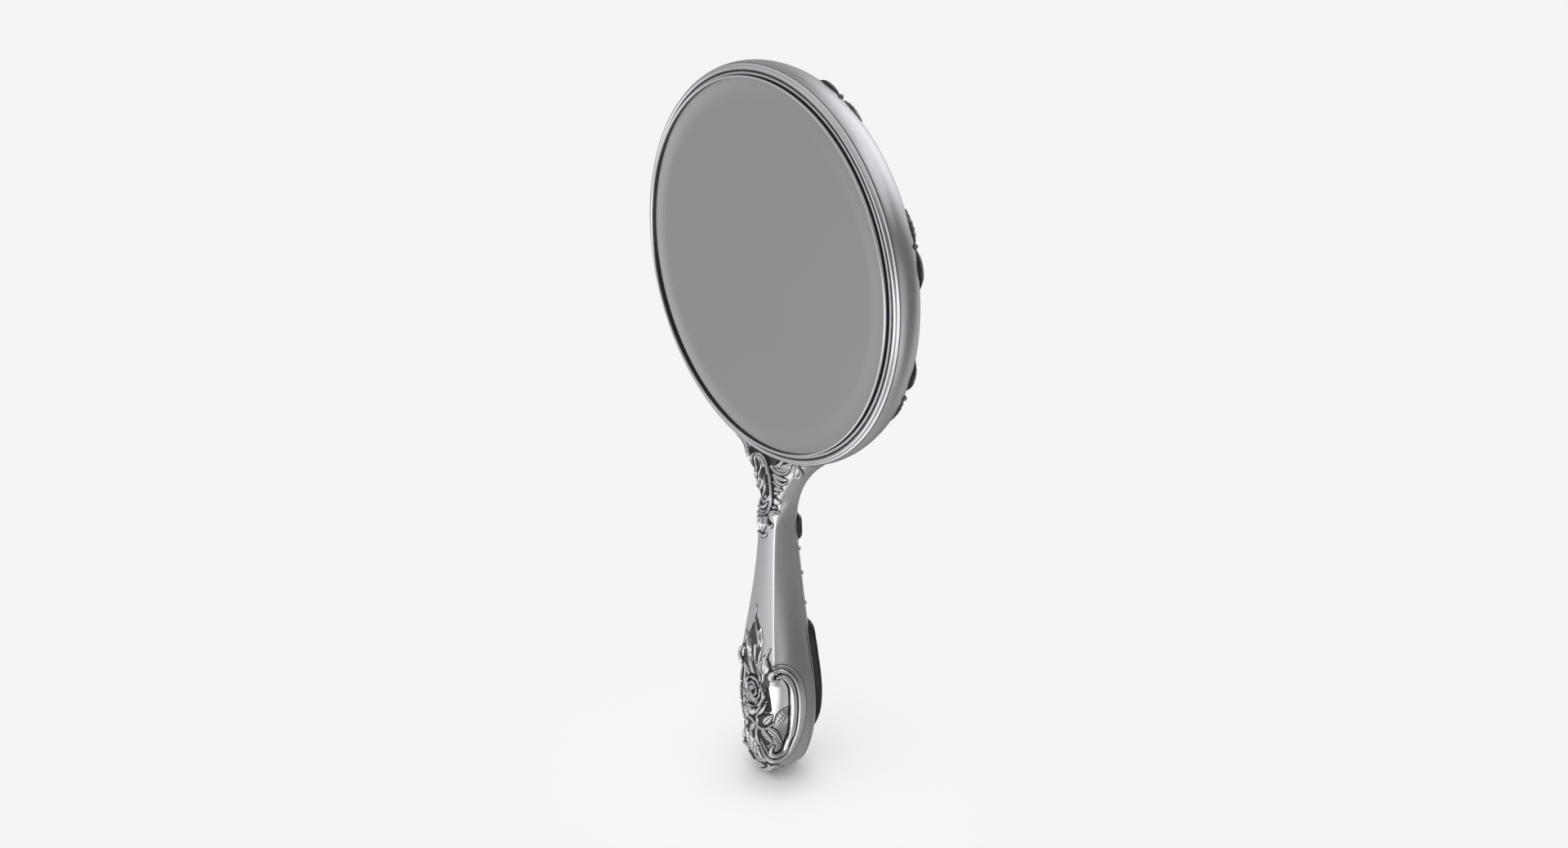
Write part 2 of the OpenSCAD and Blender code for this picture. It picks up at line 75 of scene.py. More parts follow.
GLASS_R, GLASS_T = 63.25, 3.0
BEVEL_W, BEVEL_DEPTH = 9, 0.62
WALL = 0.85  # sheet thickness of the pan and the handle shells
NECK_HALF, GRIP_HALF = 4.7, 10.6  # half widths at the narrowest and the widest
NECK_Z, WIDE_Z, TIP_Z = -95.0, -160.0, -189.6
NECK_TOP_Z = -75  # above this the handle is fitted to the head
PAN_EDGE_Y = 1.72
RIM_CLEAR_R = 66.93  # front ornament stays outside this radius
EYE = np.array([541.1, -409.2, 226.4])  # camera place, also used to lay out the front ornament
AIM = (0.01194, -0.00076, -0.05098)  # metres

# Height, Y of the handle's front and back surfaces.
FRONT = np.array([
    [-192, -0.8], [-184, -2.8], [-175, -4.1], [-162, -4.7], [-150, -4.2], [-135, -2.9],
    [-120, -1.4], [-108, -0.4], [-95, 0.4], [-75, 1.5], [-58, 2.3]], float)
BACK = np.array([
    [-192, 12.4], [-180, 14.4], [-170, 15.4], [-160, 15.6], [-150, 15.1], [-135, 14.0],
    [-120, 13.2], [-108, 12.5], [-95, 11.5], [-75, 11.2], [-58, 10.9]], float)


def hermite(table, z):
    """Smooth curve through rows of (height, value), heights rising."""
    knots, values = table[:, 0], table[:, 1]
    slopes = np.empty_like(values)
    slopes[1:-1] = (values[2:] - values[:-2]) / (knots[2:] - knots[:-2])
    slopes[0] = (values[1] - values[0]) / (knots[1] - knots[0])
    slopes[-1] = (values[-1] - values[-2]) / (knots[-1] - knots[-2])
    z = np.clip(z, knots[0], knots[-1])
    i = np.clip(np.searchsorted(knots, z, side="right") - 1, 0, len(knots) - 2)
    span = knots[i + 1] - knots[i]
    t = (z - knots[i]) / span
    return (values[i] * (1 + 2 * t) * (1 - t) ** 2 + slopes[i] * span * t * (1 - t) ** 2
            + values[i + 1] * t * t * (3 - 2 * t) + slopes[i + 1] * span * t * t * (t - 1))


def half_width(z, inset=0.0):
    """Half width of the handle, flaring to the head above and rounding to the tip below."""
    z = np.asarray(z, float)
    flare = NECK_HALF + 21.5 * np.clip((z - NECK_Z) / 33, 0, None) ** 2.5
    grip = NECK_HALF + (GRIP_HALF - NECK_HALF) * np.sin(
        np.pi / 2 * np.clip((NECK_Z - z) / (NECK_Z - WIDE_Z), 0, 1) ** 1.75)
    drop = np.clip(WIDE_Z - z, 0, None) / (WIDE_Z - TIP_Z - inset)
    tip = (GRIP_HALF - inset) * np.clip(1 - drop ** 2.5, 0, 1) ** 0.4
    return np.where(z > NECK_Z, flare - inset, np.where(z > WIDE_Z, grip - inset, tip))


def smooth_step(value, start, end):
    t = np.clip((value - start) / (end - start), 0, 1)
    return t * t * (3 - 2 * t)


# --------------------------------------------------------------------------
# Mesh building
def add_mesh(name, verts_mm, faces, material, node, tarnish_and_shade, crest=0.0):
    """Adds a mesh from a list of (n, 4) or (n, 3) face arrays, turned to face outward."""
    verts = np.ascontiguousarray(verts_mm, float) * MM
    volume = 0.0
    for part in faces:
        for k in range(1, part.shape[1] - 1):
            cross = np.cross(verts[part[:, k]], verts[part[:, k + 1]])
            volume += np.einsum("ij,ij->i", verts[part[:, 0]], cross).sum()
    if volume < 0:
        faces = [part[:, ::-1] for part in faces]
    loops = np.concatenate([part.ravel() for part in faces]).astype(np.int32)
    sizes = np.concatenate([np.full(len(part), part.shape[1]) for part in faces]).astype(np.int32)
    starts = np.concatenate([[0], np.cumsum(sizes)[:-1]]).astype(np.int32)
    mesh = bpy.data.meshes.new(name)
    mesh.vertices.add(len(verts))
    mesh.vertices.foreach_set("co", verts.ravel())
    mesh.loops.add(len(loops))
    mesh.loops.foreach_set("vertex_index", loops)
    mesh.polygons.add(len(sizes))
    mesh.polygons.foreach_set("loop_start", starts)
    mesh.polygons.foreach_set("loop_total", sizes)
    mesh.update(calc_edges=True)
    mesh.validate()
    for key, values in (("tarnish_and_shade", tarnish_and_shade), ("crest", crest)):
        if values is not None:
            layer = mesh.attributes.new(key, "FLOAT", "POINT")
            layer.data.foreach_set("value", np.full(len(verts), values, np.float32))
    mesh.polygons.foreach_set("use_smooth", np.ones(len(sizes), bool))
    piece = bpy.data.objects.new(name, mesh)
    bpy.context.scene.collection.objects.link(piece)
    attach(piece, "root")
    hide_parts(node)
    mesh.materials.append(material)
    return piece


def grid_faces(rows, columns, wrap_rows=False, wrap_columns=False):
    i, j = np.meshgrid(np.arange(rows if wrap_rows else rows - 1),
                       np.arange(columns if wrap_columns else columns - 1), indexing="ij")
    i2, j2 = (i + 1) % rows, (j + 1) % columns
    corners = [i * columns + j, i2 * columns + j, i2 * columns + j2, i * columns + j2]
    return np.stack(corners, -1).reshape(-1, 4)


def solid_from_sheets(outer, inner, faces):
    """Closes two sheets of the same layout. Also returns which points were used."""
    used = np.unique(faces)
    count = len(used)
    renumber = -np.ones(len(outer), np.int64)
    renumber[used] = np.arange(count)
    faces = renumber[faces]
    edges = np.concatenate([faces[:, [k, (k + 1) % 4]] for k in range(4)])
    key = np.sort(edges, 1)
    key = key[:, 0] * count + key[:, 1]
    order = np.argsort(key, kind="stable")
    key = key[order]
    single = np.ones(len(key), bool)
    single[1:] &= key[1:] != key[:-1]
    single[:-1] &= key[:-1] != key[1:]
    start, end = edges[order[single]].T
    walls = np.stack([end, start, start + count, end + count], -1)
    verts = np.concatenate([outer[used], inner[used]])
    return verts, [faces, faces[:, ::-1] + count, walls], used


def turned_piece(name, radii, depths, material, node, slot, tarnish_and_shade,
                 segments=576, poles=(), gap=None, crest=0.0):
    """Turns an outline about the Y axis.

    The outline closes on itself, unless it is cut after point `gap`. Then each open end is closed
    with a fan to a point on the axis. `poles` are the depths of these, in order of the outline.
    """
    count = len(radii)
    angle = np.linspace(0, 2 * np.pi, segments, endpoint=False)[:, None]
    depths = depths * np.ones((segments, count))
    verts = np.stack([radii * np.sin(angle), depths, radii * np.cos(angle)], -1).reshape(-1, 3)
    faces = grid_faces(segments, count, True, True)
    if gap is not None:
        faces = np.delete(faces.reshape(segments, count, 4), gap, 1).reshape(-1, 4)
    faces = [faces]
    i = np.arange(segments)
    i2 = (i + 1) % segments
    for k, y in enumerate(poles):
        column = sorted((gap, (gap + 1) % count))[k]
        first, second = (i, i2) if column == gap else (i2, i)
        pole = np.full(segments, segments * count + k)
        faces.append(np.stack([first * count + column, second * count + column, pole], -1))
        verts = np.vstack([verts, [0, y, 0]])
    tarnish_and_shade = np.append(np.broadcast_to(tarnish_and_shade, (segments, count)), np.zeros(len(poles)))
    return add_mesh(name, verts, faces, material, node, tarnish_and_shade, crest)


def arc(centre_r, centre_y, radius, start, end, count):
    angles = np.radians(np.linspace(start, end, count))
    return [[centre_r + radius * np.cos(a), centre_y + radius * np.sin(a)] for a in angles]


def resample(points, step):
    points = np.asarray(points, float)
    run = np.concatenate([[0], np.cumsum(np.hypot(*np.diff(points, axis=0).T))])
    at = np.linspace(0, run[-1], max(2, int(round(run[-1] / step)) + 1))
    return np.stack([np.interp(at, run, points[:, 0]), np.interp(at, run, points[:, 1])], -1)


# --------------------------------------------------------------------------
# The handle's skin: a rounded box section that changes with height
EDGE_R, FACE_BOW = 0.8, 0.35  # front edge radius, and how far the front face bows
REAR_EDGE_R = 1.7
SKIN_COUNTS = (60, 16, 60, 16, 50)  # points on face, corner, side, rear corner and rear


def front_corner_r(z):
    wide_part = smooth_step(-z, 144.0, 152.5) * (1 - smooth_step(-z, 172, 184))
    return EDGE_R + 5.2 * smooth_step(z, -94, -78) + 6.4 * wide_part


def sections(z, counts, inset=0.0):
    """Right half of the section at each height, from the front centre to the back centre."""
    z = np.asarray(z, float)[:, None]
    half = np.maximum(half_width(z, inset), 0.02)
    front, back = hermite(FRONT, z) + inset, hermite(BACK, z) - inset
    depth = back - front
    corner = np.minimum(np.maximum(front_corner_r(z) - inset, 0.06), 0.72 * half)
    corner = np.minimum(corner, 0.45 * depth)
    rear_corner = np.minimum(np.minimum(max(REAR_EDGE_R - inset, 0.5), 0.5 * half), 0.3 * depth)
    neck = smooth_step(z, -84, -70)
    on_face, on_corner, on_side, on_rear_corner, on_rear = [
        np.linspace(0, 1, n, endpoint=(k == 4))[None, :] for k, n in enumerate(counts)]

    face_x = on_face * (half - corner)
    face_y = front + FACE_BOW * (face_x / np.maximum(half, 3)) ** 2
    turn = on_corner * np.pi / 2
    bow = FACE_BOW * ((half - corner) / np.maximum(half, 3)) ** 2
    corner_x = half - corner + corner * np.sin(turn)
    corner_y = front + bow + corner - corner * np.cos(turn) - bow * on_corner ** 2
    bulge = (0.25 + 0.7 * smooth_step(-z, 106, 142)) * (1 - 0.8 * neck)
    bulge = bulge * np.clip((half - 3) / 6, 0, 1)
    side_x = half + bulge * 6.75 * on_side * (1 - on_side) ** 2
    side_y = front + corner + on_side * (depth - corner - rear_corner)
    turn = on_rear_corner * np.pi / 2
    rear_corner_x = half - rear_corner + rear_corner * np.cos(turn)
    rear_corner_y = back - rear_corner + rear_corner * np.sin(turn)
    rear_x = (1 - on_rear) * (half - rear_corner)
    crown = 0.35 * (1 - neck) * np.clip(half / 8, 0, 1)
    rear_y = back + crown * (1 - (1 - on_rear) ** 2)

    x = np.concatenate([face_x, corner_x, side_x, rear_corner_x, rear_x], 1)
    y = np.concatenate([face_y, corner_y, side_y, rear_corner_y, rear_y], 1)
    step_x, step_y = np.gradient(x, axis=1), np.gradient(y, axis=1)
    length = np.hypot(step_x, step_y) + 1e-9
    normal_x, normal_y = step_y / length, -step_x / length
    normal_x[:, [0, -1]] = 0
    normal_y[:, 0], normal_y[:, -1] = -1, 1
    run = np.cumsum(np.hypot(np.diff(x, axis=1), np.diff(y, axis=1)), 1)
    return SimpleNamespace(
        x=x, y=y, normal_x=normal_x, normal_y=normal_y,
        run=np.concatenate([np.zeros_like(z), run], 1),
        side_run=(half - corner)[:, 0] + corner[:, 0] * np.pi / 2,
        side_y=(front + corner)[:, 0])


def on_skin(u, v, height, face):
    """Points at drawing coordinates u, v, raised by height. Each row of v is level.

    On the front and back u is measured along the skin from the centre. On the side it is Y.
    """
    cut = sections(v[:, 0], SKIN_COUNTS)
    points = np.empty(u.shape + (3,))
    for i in range(u.shape[0]):
        run = cut.run[i]
        sign = 1.0 if face == "side" else np.where(u[i] < 0, -1.0, 1.0)
        if face == "front":
            at = np.abs(u[i])
        elif face == "back":
            at = run[-1] - np.abs(u[i])
        else:
            at = np.maximum(cut.side_run[i] + (u[i] - cut.side_y[i]), 0)
        x, y, normal_x, normal_y = [
            np.interp(at, run, values[i]) for values in (cut.x, cut.y, cut.normal_x, cut.normal_y)]
        length = np.hypot(normal_x, normal_y) + 1e-9
        points[i, :, 0] = sign * (x + height[i] * normal_x / length)
        points[i, :, 1] = y + height[i] * normal_y / length
        points[i, :, 2] = v[i]
    return points


def to_skin(line, face, level):
    """Carries (u, v, width, height) rows, drawn on a plane at `level`, along the sight lines."""
    line = np.array(line, float)
    axis, other = (1, 0) if face == "front" else (0, 1)
    u, v, raised = line[:, 0].copy(), line[:, 1].copy(), 0.7 * line[:, 3]
    lowest, highest = -189.4, -58.5
    for _ in range(14):
        if face == "front":
            u = np.maximum(u, -(half_width(v) + 0.1))
        v = np.clip(v, lowest, highest)
        skin = on_skin(u[:, None], v[:, None], raised[:, None], face)[:, 0]
        reach = (level - EYE[axis]) / (skin[:, axis] - EYE[axis])
        seen = EYE + reach[:, None] * (skin - EYE)
        u = u + 0.8 * (line[:, 0] - seen[:, other])
        v = v + 0.8 * (line[:, 1] - seen[:, 2])
    if face == "front":
        u = np.maximum(u, -(half_width(v) + 0.1))
    if len(u) > 16:
        # Keeps the line fair where the section changes.
        for values in (u, v):
            values[4:-4] = np.convolve(values, np.ones(9) / 9, "valid")
    line[:, 0], line[:, 1] = u, np.clip(v, lowest, highest)
    return line


# --------------------------------------------------------------------------
# The head's skin: radius and depth by arc length from the centre of the back
def wall_r(y):
    y = np.asarray(y, float)
    return 67.5 - np.where(y < 4.6, 0.054, 0.042) * (y - 4.6) ** 2


def back_y(r):
    return 14.0 - 2.6 * (np.asarray(r, float) / 64) ** 2


def head_outline():
    """From the back centre out over the rear corner and down the side wall."""
    dome_r, wall_top = 64.4, 10.1
    points = [[r, float(back_y(r))] for r in np.linspace(0, dome_r, 70)]
    start, middle = np.array([dome_r, float(back_y(dome_r))]), np.array([65.72, 11.28])
    end = np.array([float(wall_r(wall_top)), wall_top])
    points += [list((1 - t) ** 2 * start + 2 * t * (1 - t) * middle + t * t * end)
               for t in np.linspace(0, 1, 14)[1:]]
    points += [[float(wall_r(y)), y] for y in np.linspace(wall_top, PAN_EDGE_Y, 34)[1:]]
    return np.array(points)


HEAD = head_outline()
HEAD_RUN = np.concatenate([[0], np.cumsum(np.hypot(*np.diff(HEAD, axis=0).T))])
HEAD_NORMALS = np.gradient(HEAD, axis=0)[:, ::-1] * (-1, 1)
HEAD_NORMALS /= np.hypot(*HEAD_NORMALS.T)[:, None] + 1e-9
HEAD_NORMALS[0] = (0, 1)


def on_head(u, v, height, turn):
    """Points of a drawing centred on the back, turned about Y."""
    run = np.hypot(u, v)
    angle = np.arctan2(u, v) + turn
    r, y, normal_r, normal_y = [
        np.interp(run, HEAD_RUN, values) for values in (*HEAD.T, *HEAD_NORMALS.T)]
    length = np.hypot(normal_r, normal_y) + 1e-9
    r, y = r + height * normal_r / length, y + height * normal_y / length
    return np.stack([r * np.sin(angle), y, r * np.cos(angle)], -1)


# --------------------------------------------------------------------------
# Cross profiles of a stroke. `across` runs from -1 on its right to 1 on its left.
def dome(across, along):
    return np.sqrt(np.clip(1 - across * across, 0, 1))


def pillow(across, along):
    return np.clip(1 - across ** 4, 0, 1) ** 0.5 * (0.8 + 0.2 * (1 - across * across))


def ridge(across, along):
    return np.clip(1 - np.abs(across), 0, 1) ** 0.8


def gutter(across, along):
    """Raised lips with a trough between."""
    return np.clip(1 - across ** 6, 0, 1) ** 0.5 * (0.5 + 0.5 * across * across)


def grooved(across, along):
    """A rounded strand split by one groove."""
    return dome(across, along) * (1 - 0.45 * np.exp(-(across / 0.2) ** 2))


def lip_left(across, along):
    """High rolled edge on the left, falling away to the right."""
    body = np.clip(1 - across ** 8, 0, 1) ** 0.5
    return body * (0.28 + 0.72 * np.exp(-((across - 0.62) / 0.3) ** 2))


def lip_right(across, along):
    return lip_left(-across, along)


def flank(across, along):
    """A low slope, higher on the right."""
    return np.clip(1 - np.abs(across) ** 5, 0, 1) ** 0.6 * (0.62 - 0.34 * across)


def rolled(across, along):
    """A dome with one groove left of its middle."""
    return dome(across, along) * (1 - 0.24 * np.exp(-((across - 0.42) / 0.16) ** 2))


def banded(across, depth, place):
    """A flat ribbon with a groove near each edge."""
    groove = np.exp(-((np.abs(across) - place) / 0.14) ** 2)
    return np.clip(1 - across ** 4, 0, 1) ** 0.5 * (1 - depth * groove)


def handle_band(across, along):
    return banded(across, depth=0.3, place=0.4)


def head_band(across, along):
    return banded(across, depth=0.26, place=0.34)


PROFILES = {profile.__name__: profile for profile in (
    dome, pillow, ridge, gutter, grooved, lip_left, lip_right, rolled, handle_band, head_band)}


def leaf_profile(veins):
    def profile(across, along):
        out = np.abs(across)
        body = np.clip(1 - out ** 3, 0, 1) ** 0.5
        body = body * (0.62 + 0.38 * np.sin(np.pi * np.clip(out * 0.9 + 0.12, 0, 1)))
        body = body * (1 - 0.42 * np.exp(-(across / 0.11) ** 2))
        vein = 0.5 + 0.5 * np.cos(2 * np.pi * (along * veins - 0.55 * out))
        return body * (1 - 0.16 * vein ** 2 * smooth_step(out, 0.08, 0.4))
    return profile


# --------------------------------------------------------------------------
# Relief: strokes and leaves laid into a height field
def with_sizes(points, widths, heights):
    """Rows (u, v, half width, height), the sizes spread evenly along the points."""
    share = np.linspace(0, 1, len(points))
    sizes = [np.interp(share, np.linspace(0, 1, len(values)), values)
             for values in (widths, heights)]
    return np.column_stack([np.asarray(points, float), *sizes])


def path(control):
    """Catmull-Rom curve through (u, v, half width, height) rows."""
    rows = np.asarray(control, float)
    if len(rows) == 2:
        rows = np.stack([rows[0], (rows[0] + rows[1]) / 2, rows[1]])
    rows = np.concatenate([[2 * rows[0] - rows[1]], rows, [2 * rows[-1] - rows[-2]]])
    rows[0, 2:], rows[-1, 2:] = rows[1, 2:], rows[-2, 2:]
    curve = []
    for before, start, end, after in zip(rows, rows[1:], rows[2:], rows[3:]):
        count = max(3, int(np.hypot(*(end[:2] - start[:2])) / 0.22))
        t = np.linspace(0, 1, count, endpoint=False)[:, None]
        curve.append(0.5 * (2 * start + (end - before) * t
                            + (2 * before - 5 * start + 4 * end - after) * t ** 2
                            + (3 * start - before - 3 * end + after) * t ** 3))
    curve.append(rows[-2][None])
    return np.concatenate(curve)


def blur(field, cells):
    """Two box passes along each axis."""
    window = 2 * cells + 1
    for axis in (0, 1):
        lines = np.moveaxis(field, axis, 0)
        for _ in range(2):
            total = np.cumsum(np.pad(lines, [(cells + 1, cells), (0, 0)], mode="edge"), axis=0)
            lines = (total[window:] - total[:-window]) / window
        field = np.moveaxis(lines, 0, axis)
    return field


def widen(field, cells):
    """The highest value within some cells, along each axis in turn."""
    for axis in (0, 1):
        lines = np.moveaxis(field, axis, 0)
        highest = lines.copy()
        for k in range(1, cells + 1):
            highest[:-k] = np.maximum(highest[:-k], lines[k:])
            highest[k:] = np.maximum(highest[k:], lines[:-k])
        field = np.moveaxis(highest, 0, axis)
    return field


class Relief:
    """A height field whose cells each belong to one of the named pieces, or to none."""

    def __init__(self, pieces, u_range, v_range, cell, drawn=None):
        self.pieces = pieces.split()
        self.piece = 0  # the piece being laid
        self.cell = cell * COARSE
        self.drawn = drawn  # the face and the level of the plane it was drawn on
        self.u_line, self.v_line = [
            np.arange(low, high + self.cell / 2, self.cell) for low, high in (u_range, v_range)]
        self.u, self.v = np.meshgrid(self.u_line, self.v_line)
        self.height = np.zeros(self.u.shape)
        self.owner = np.full(self.u.shape, -1)
        self.tarnish_and_shade = np.zeros(self.u.shape)

    def cells(self, length):
        return max(1, round(length / self.cell))

    def owned(self, piece):
        return self.owner == self.pieces.index(piece)

    def nearest(self, line, margin):
        """Distance to the line, and its share of length, half width, height and side there."""
        found = [np.zeros(self.u.shape) for _ in range(5)]
        found[0][:] = 1e9
        steps = np.hypot(*np.diff(line[:, :2], axis=0).T)
        share = np.concatenate([[0], np.cumsum(steps)])
        share /= max(share[-1], 1e-9)
        for start, end, share0, share1 in zip(line, line[1:], share, share[1:]):
            reach = max(start[2], end[2]) + margin
            low, high = np.minimum(start, end) - reach, np.maximum(start, end) + reach
            window = (slice(*np.searchsorted(self.v_line, [low[1], high[1]])),
                      slice(*np.searchsorted(self.u_line, [low[0], high[0]])))
            step_u, step_v = end[0] - start[0], end[1] - start[1]
            from_u, from_v = self.u[window] - start[0], self.v[window] - start[1]
            square = step_u * step_u + step_v * step_v + 1e-12
            t = np.clip((from_u * step_u + from_v * step_v) / square, 0, 1)
            off_u, off_v = from_u - t * step_u, from_v - t * step_v
            distance = np.hypot(off_u, off_v)
            closer = distance < found[0][window]
            values = (distance, share0 + t * (share1 - share0),
                      start[2] + t * (end[2] - start[2]), start[3] + t * (end[3] - start[3]),
                      np.sign(step_u * off_v - step_v * off_u))
            for field, value in zip(found, values):
                field[window][closer] = value[closer]
        return found

    def cover(self, cells, height, tarnish_and_shade):
        self.height = np.where(cells, height, self.height)
        self.owner = np.where(cells, self.piece, self.owner)
        self.tarnish_and_shade = np.where(cells, tarnish_and_shade, self.tarnish_and_shade)

    def lay(self, line, profile, moat=0.3, lift=0.0, placed=False, dull=0):
        """Lays a line over what is there, sinking and tarnishing a moat around it."""
        if self.drawn and not placed:
            line = to_skin(line, *self.drawn)
        moat = 1.35 * moat
        distance, along, width, height, side = self.nearest(line, moat + 0.1)
        width = np.maximum(width, 1e-3)
        raised = height * profile(np.clip(side * distance / width, -1, 1), along) + lift
        ring = (distance >= width) & (distance < width + moat)
        fade = np.clip((distance - width) / moat, 0, 1)
        self.height = np.where(ring, self.height * (0.25 + 0.75 * fade), self.height)
        self.tarnish_and_shade = np.where(
            ring, np.maximum(self.tarnish_and_shade, 0.85 * (1 - fade) ** 1.5), self.tarnish_and_shade)
        free = (raised > self.height * 0.72) | (self.owner < 0)
        self.cover((distance < width) & free, raised, dull)

    def stroke(self, points, widths, heights, profile, mirror=1, **options):
        self.lay(path(with_sizes(points, widths, heights)),
                 lambda across, along: profile(mirror * across, along), **options)

    def leaf(self, base, tip, width, height, bend, veins, notch, widest=0.35, fall=0.35):
        """A veined leaf. bend bows it to the left, notch cuts into its edge at each vein."""
        base, tip = np.asarray(base, float), np.asarray(tip, float)
        length = np.hypot(*(tip - base))
        share = np.linspace(0, 1, max(24, int(length / 0.15)))
        ahead = (tip - base) / length
        left = np.array([-ahead[1], ahead[0]])
        centre = base + np.outer(share, tip - base) + np.outer(4 * share * (1 - share) * bend, left)
        power = math.log(0.5) / math.log(widest)
        widths = width * np.sin(np.pi * share ** power) ** 0.75 * (1 - 0.1 * share)
        if notch:
            wave = 0.5 - 0.5 * np.cos(2 * np.pi * ((share * veins) % 1.0))
            widths = widths * (1 - notch * wave * 0.8)
        swell = 0.55 + 0.45 * np.sin(np.pi * np.clip(share * 0.8 + 0.2, 0, 1))
        heights = height * swell * (1 - fall * share ** 3)
        line = np.column_stack([centre, np.maximum(widths, 0.04), heights])
        self.lay(line, leaf_profile(veins))

    def ball(self, centre, radius, height):
        u, v = centre
        self.lay(np.array([[u - 0.01, v, radius, height], [u + 0.01, v, radius, height]]), dome)

    def rose(self, centre, radius, height, turn, squash=1.0, small=False):
        """An open rose: a low bowl, rolled petals in rings and a spiral heart."""
        turn = math.radians(turn)
        if self.drawn:
            centre = to_skin([[*centre, 1, 1.2 * height]], *self.drawn)[0, :2]
        u, v = centre
        out = np.hypot(self.u - u, (self.v - v) / squash)
        bowl = height * 0.5 * np.sqrt(np.clip(1 - (out / (radius * 1.02)) ** 2, 0, 1))
        self.cover(out < radius * 0.96, np.maximum(bowl, self.height * 0.3), 0)
        # Place in the radius, petals, half width, height, sweep and offset in degrees.
        rings = [(0.80, 5, 0.27, 0.72, 84, 0), (0.56, 4, 0.22, 0.9, 104, 40),
                 (0.35, 3, 0.17, 1.05, 134, 10)]
        if small:
            rings = [(0.78, 4, 0.32, 0.8, 104, 0), (0.45, 3, 0.27, 1.05, 140, 40)]
        across = np.linspace(-1, 1, 15)
        for place, petals, width, rise, sweep, offset in rings:
            for i in range(petals):
                middle = turn + 2 * math.pi * (i / petals) + math.radians(offset)
                angle = middle + np.radians(np.linspace(-sweep / 2, sweep / 2, 15))
                reach = radius * (place + 0.055 * across - 0.06 * across ** 2)
                line = np.stack([
                    u + reach * np.cos(angle), v + reach * np.sin(angle) * squash,
                    radius * width * (1 - 0.72 * np.abs(across) ** 2.4) + 0.04,
                    height * rise * (1 - 0.25 * np.abs(across) ** 2)], -1)
                self.lay(path(line), lip_right, lift=height * 0.42 * (1 - place), moat=0.22,
                         placed=True)
        share = np.linspace(0, 1, 44)
        angle = np.radians(np.linspace(0, 400 if small else 560, 44)) + turn
        reach = radius * 0.24 * (1 - 0.86 * share)
        line = np.stack([
            u + reach * np.cos(angle), v + reach * np.sin(angle) * squash,
            radius * ((0.11 if small else 0.085) - 0.03 * share),
            height * (0.82 + 0.2 * share)], -1)
        self.lay(path(line), dome, lift=height * 0.36, moat=0.16, placed=True)

    def ground(self, points, widths, height, tarnish_and_shade):
        """Fills free cells along a line with a low, tarnished floor."""
        line = path(with_sizes(points, widths, [0]))
        if self.drawn:
            line = to_skin(line, *self.drawn)
        distance, _, width, _, _ = self.nearest(line, 0.2)
        free = (distance < width) & (self.owner < 0)
        self.cover(free, height, np.maximum(self.tarnish_and_shade, tarnish_and_shade))

    def draw(self, drawing, mirror=1):
        """Lays the lines of a drawing in order. mirror=-1 swaps left and right.

        piece NAME                              what follows belongs to this piece
        PROFILE u v, u v, ... | half widths | heights | options of lay()
        ground u v, u v, ... | half widths | height tarnish
        leaf base, tip | half width, height, bend, veins, notch | options of leaf()
        ball or rose u v | radius, height and the rest of its arguments
        Lines indented by two spaces carry on the one above.
        """
        for line in drawing.replace("\n  ", " ").strip().splitlines():
            kind, rest = line.split(maxsplit=1)
            if kind == "#":
                continue
            if kind == "piece":
                self.piece = self.pieces.index(rest)
                continue
            fields = rest.split("|")
            options = {}
            if "=" in fields[-1]:
                pairs = [pair.split("=") for pair in fields.pop().split()]
                options = {key: float(value) for key, value in pairs}
            points = np.array([[float(n) for n in pair.split()] for pair in fields[0].split(",")])
            points = points * (mirror, 1)
            sizes = [[float(n) for n in field.split()] for field in fields[1:]]
            if kind in PROFILES:
                self.stroke(points, *sizes, PROFILES[kind], mirror, **options)
            elif kind == "ground":
                self.ground(points, sizes[0], *sizes[1])
            else:
                if kind == "leaf":
                    sizes[0][2] *= mirror  # the bend
                getattr(self, kind)(*points, *sizes[0], **options)

    def finish(self):
        soft = blur(self.height, 1) * 0.6 + self.height * 0.4
        self.height = np.where(self.owner >= 0, soft, 0)
        # Oxide stays wherever the surface lies below its surroundings, the crests are bright.
        peak = blur(widen(self.height, self.cells(0.55)), self.cells(0.2))
        fine = blur(self.height, self.cells(0.16))
        self.cavity = np.maximum(smooth_step(peak - self.height, 0.28, 1.0),
                                 np.clip((fine - self.height - 0.02) / 0.12, 0, 1) * 0.8)
        self.crest = np.clip(1 - (peak - self.height) / 0.22, 0, 1) * (self.height > 0.4)

    def darken(self, piece, tarnish_and_shade):
        self.tarnish_and_shade = np.where(
            self.owned(piece), np.maximum(self.tarnish_and_shade, tarnish_and_shade), self.tarnish_and_shade)

    def sheet(self, piece, mapping, cut=None, mirror=False):
        """The cells of a piece as a closed mesh, with a thin dark skirt around them."""
        inside = self.owned(piece)
        near = blur(inside.astype(float), self.cells(0.3))
        skirt = 0.03 - 0.2 * (1 - smooth_step(near, 0.03, 0.2))
        height = np.where(inside, np.maximum(self.height, 0.03), skirt)
        dark = np.where(inside, np.maximum(self.cavity, self.tarnish_and_shade),
                        smooth_step(near, 0.02, 0.3))
        crest = np.where(inside, self.crest, 0)
        faces = grid_faces(*self.u.shape)
        faces = faces[(near > 0.012).ravel()[faces].all(1)]
        outer = mapping(self.u, self.v, height).reshape(-1, 3)
        inner = mapping(self.u, self.v, np.full(height.shape, -0.25)).reshape(-1, 3)
        if cut is not None:
            faces = faces[cut(outer)[faces].all(1)]
        if mirror:
            outer, inner, faces = outer * [-1, 1, 1], inner * [-1, 1, 1], faces[:, ::-1]
        verts, parts, used = solid_from_sheets(outer, inner, faces)
        return verts, parts, np.tile(dark.ravel()[used], 2), np.tile(crest.ravel()[used], 2)


def relief_piece(name, node, *sheets):
    start, faces = 0, []
    for verts, parts, _, _ in sheets:
        faces += [part + start for part in parts]
        start += len(verts)
    verts, tarnish_and_shade, crest = [np.concatenate([sheet[k] for sheet in sheets]) for k in (0, 2, 3)]
    add_mesh(name, verts, faces, RELIEF, node, tarnish_and_shade, crest)


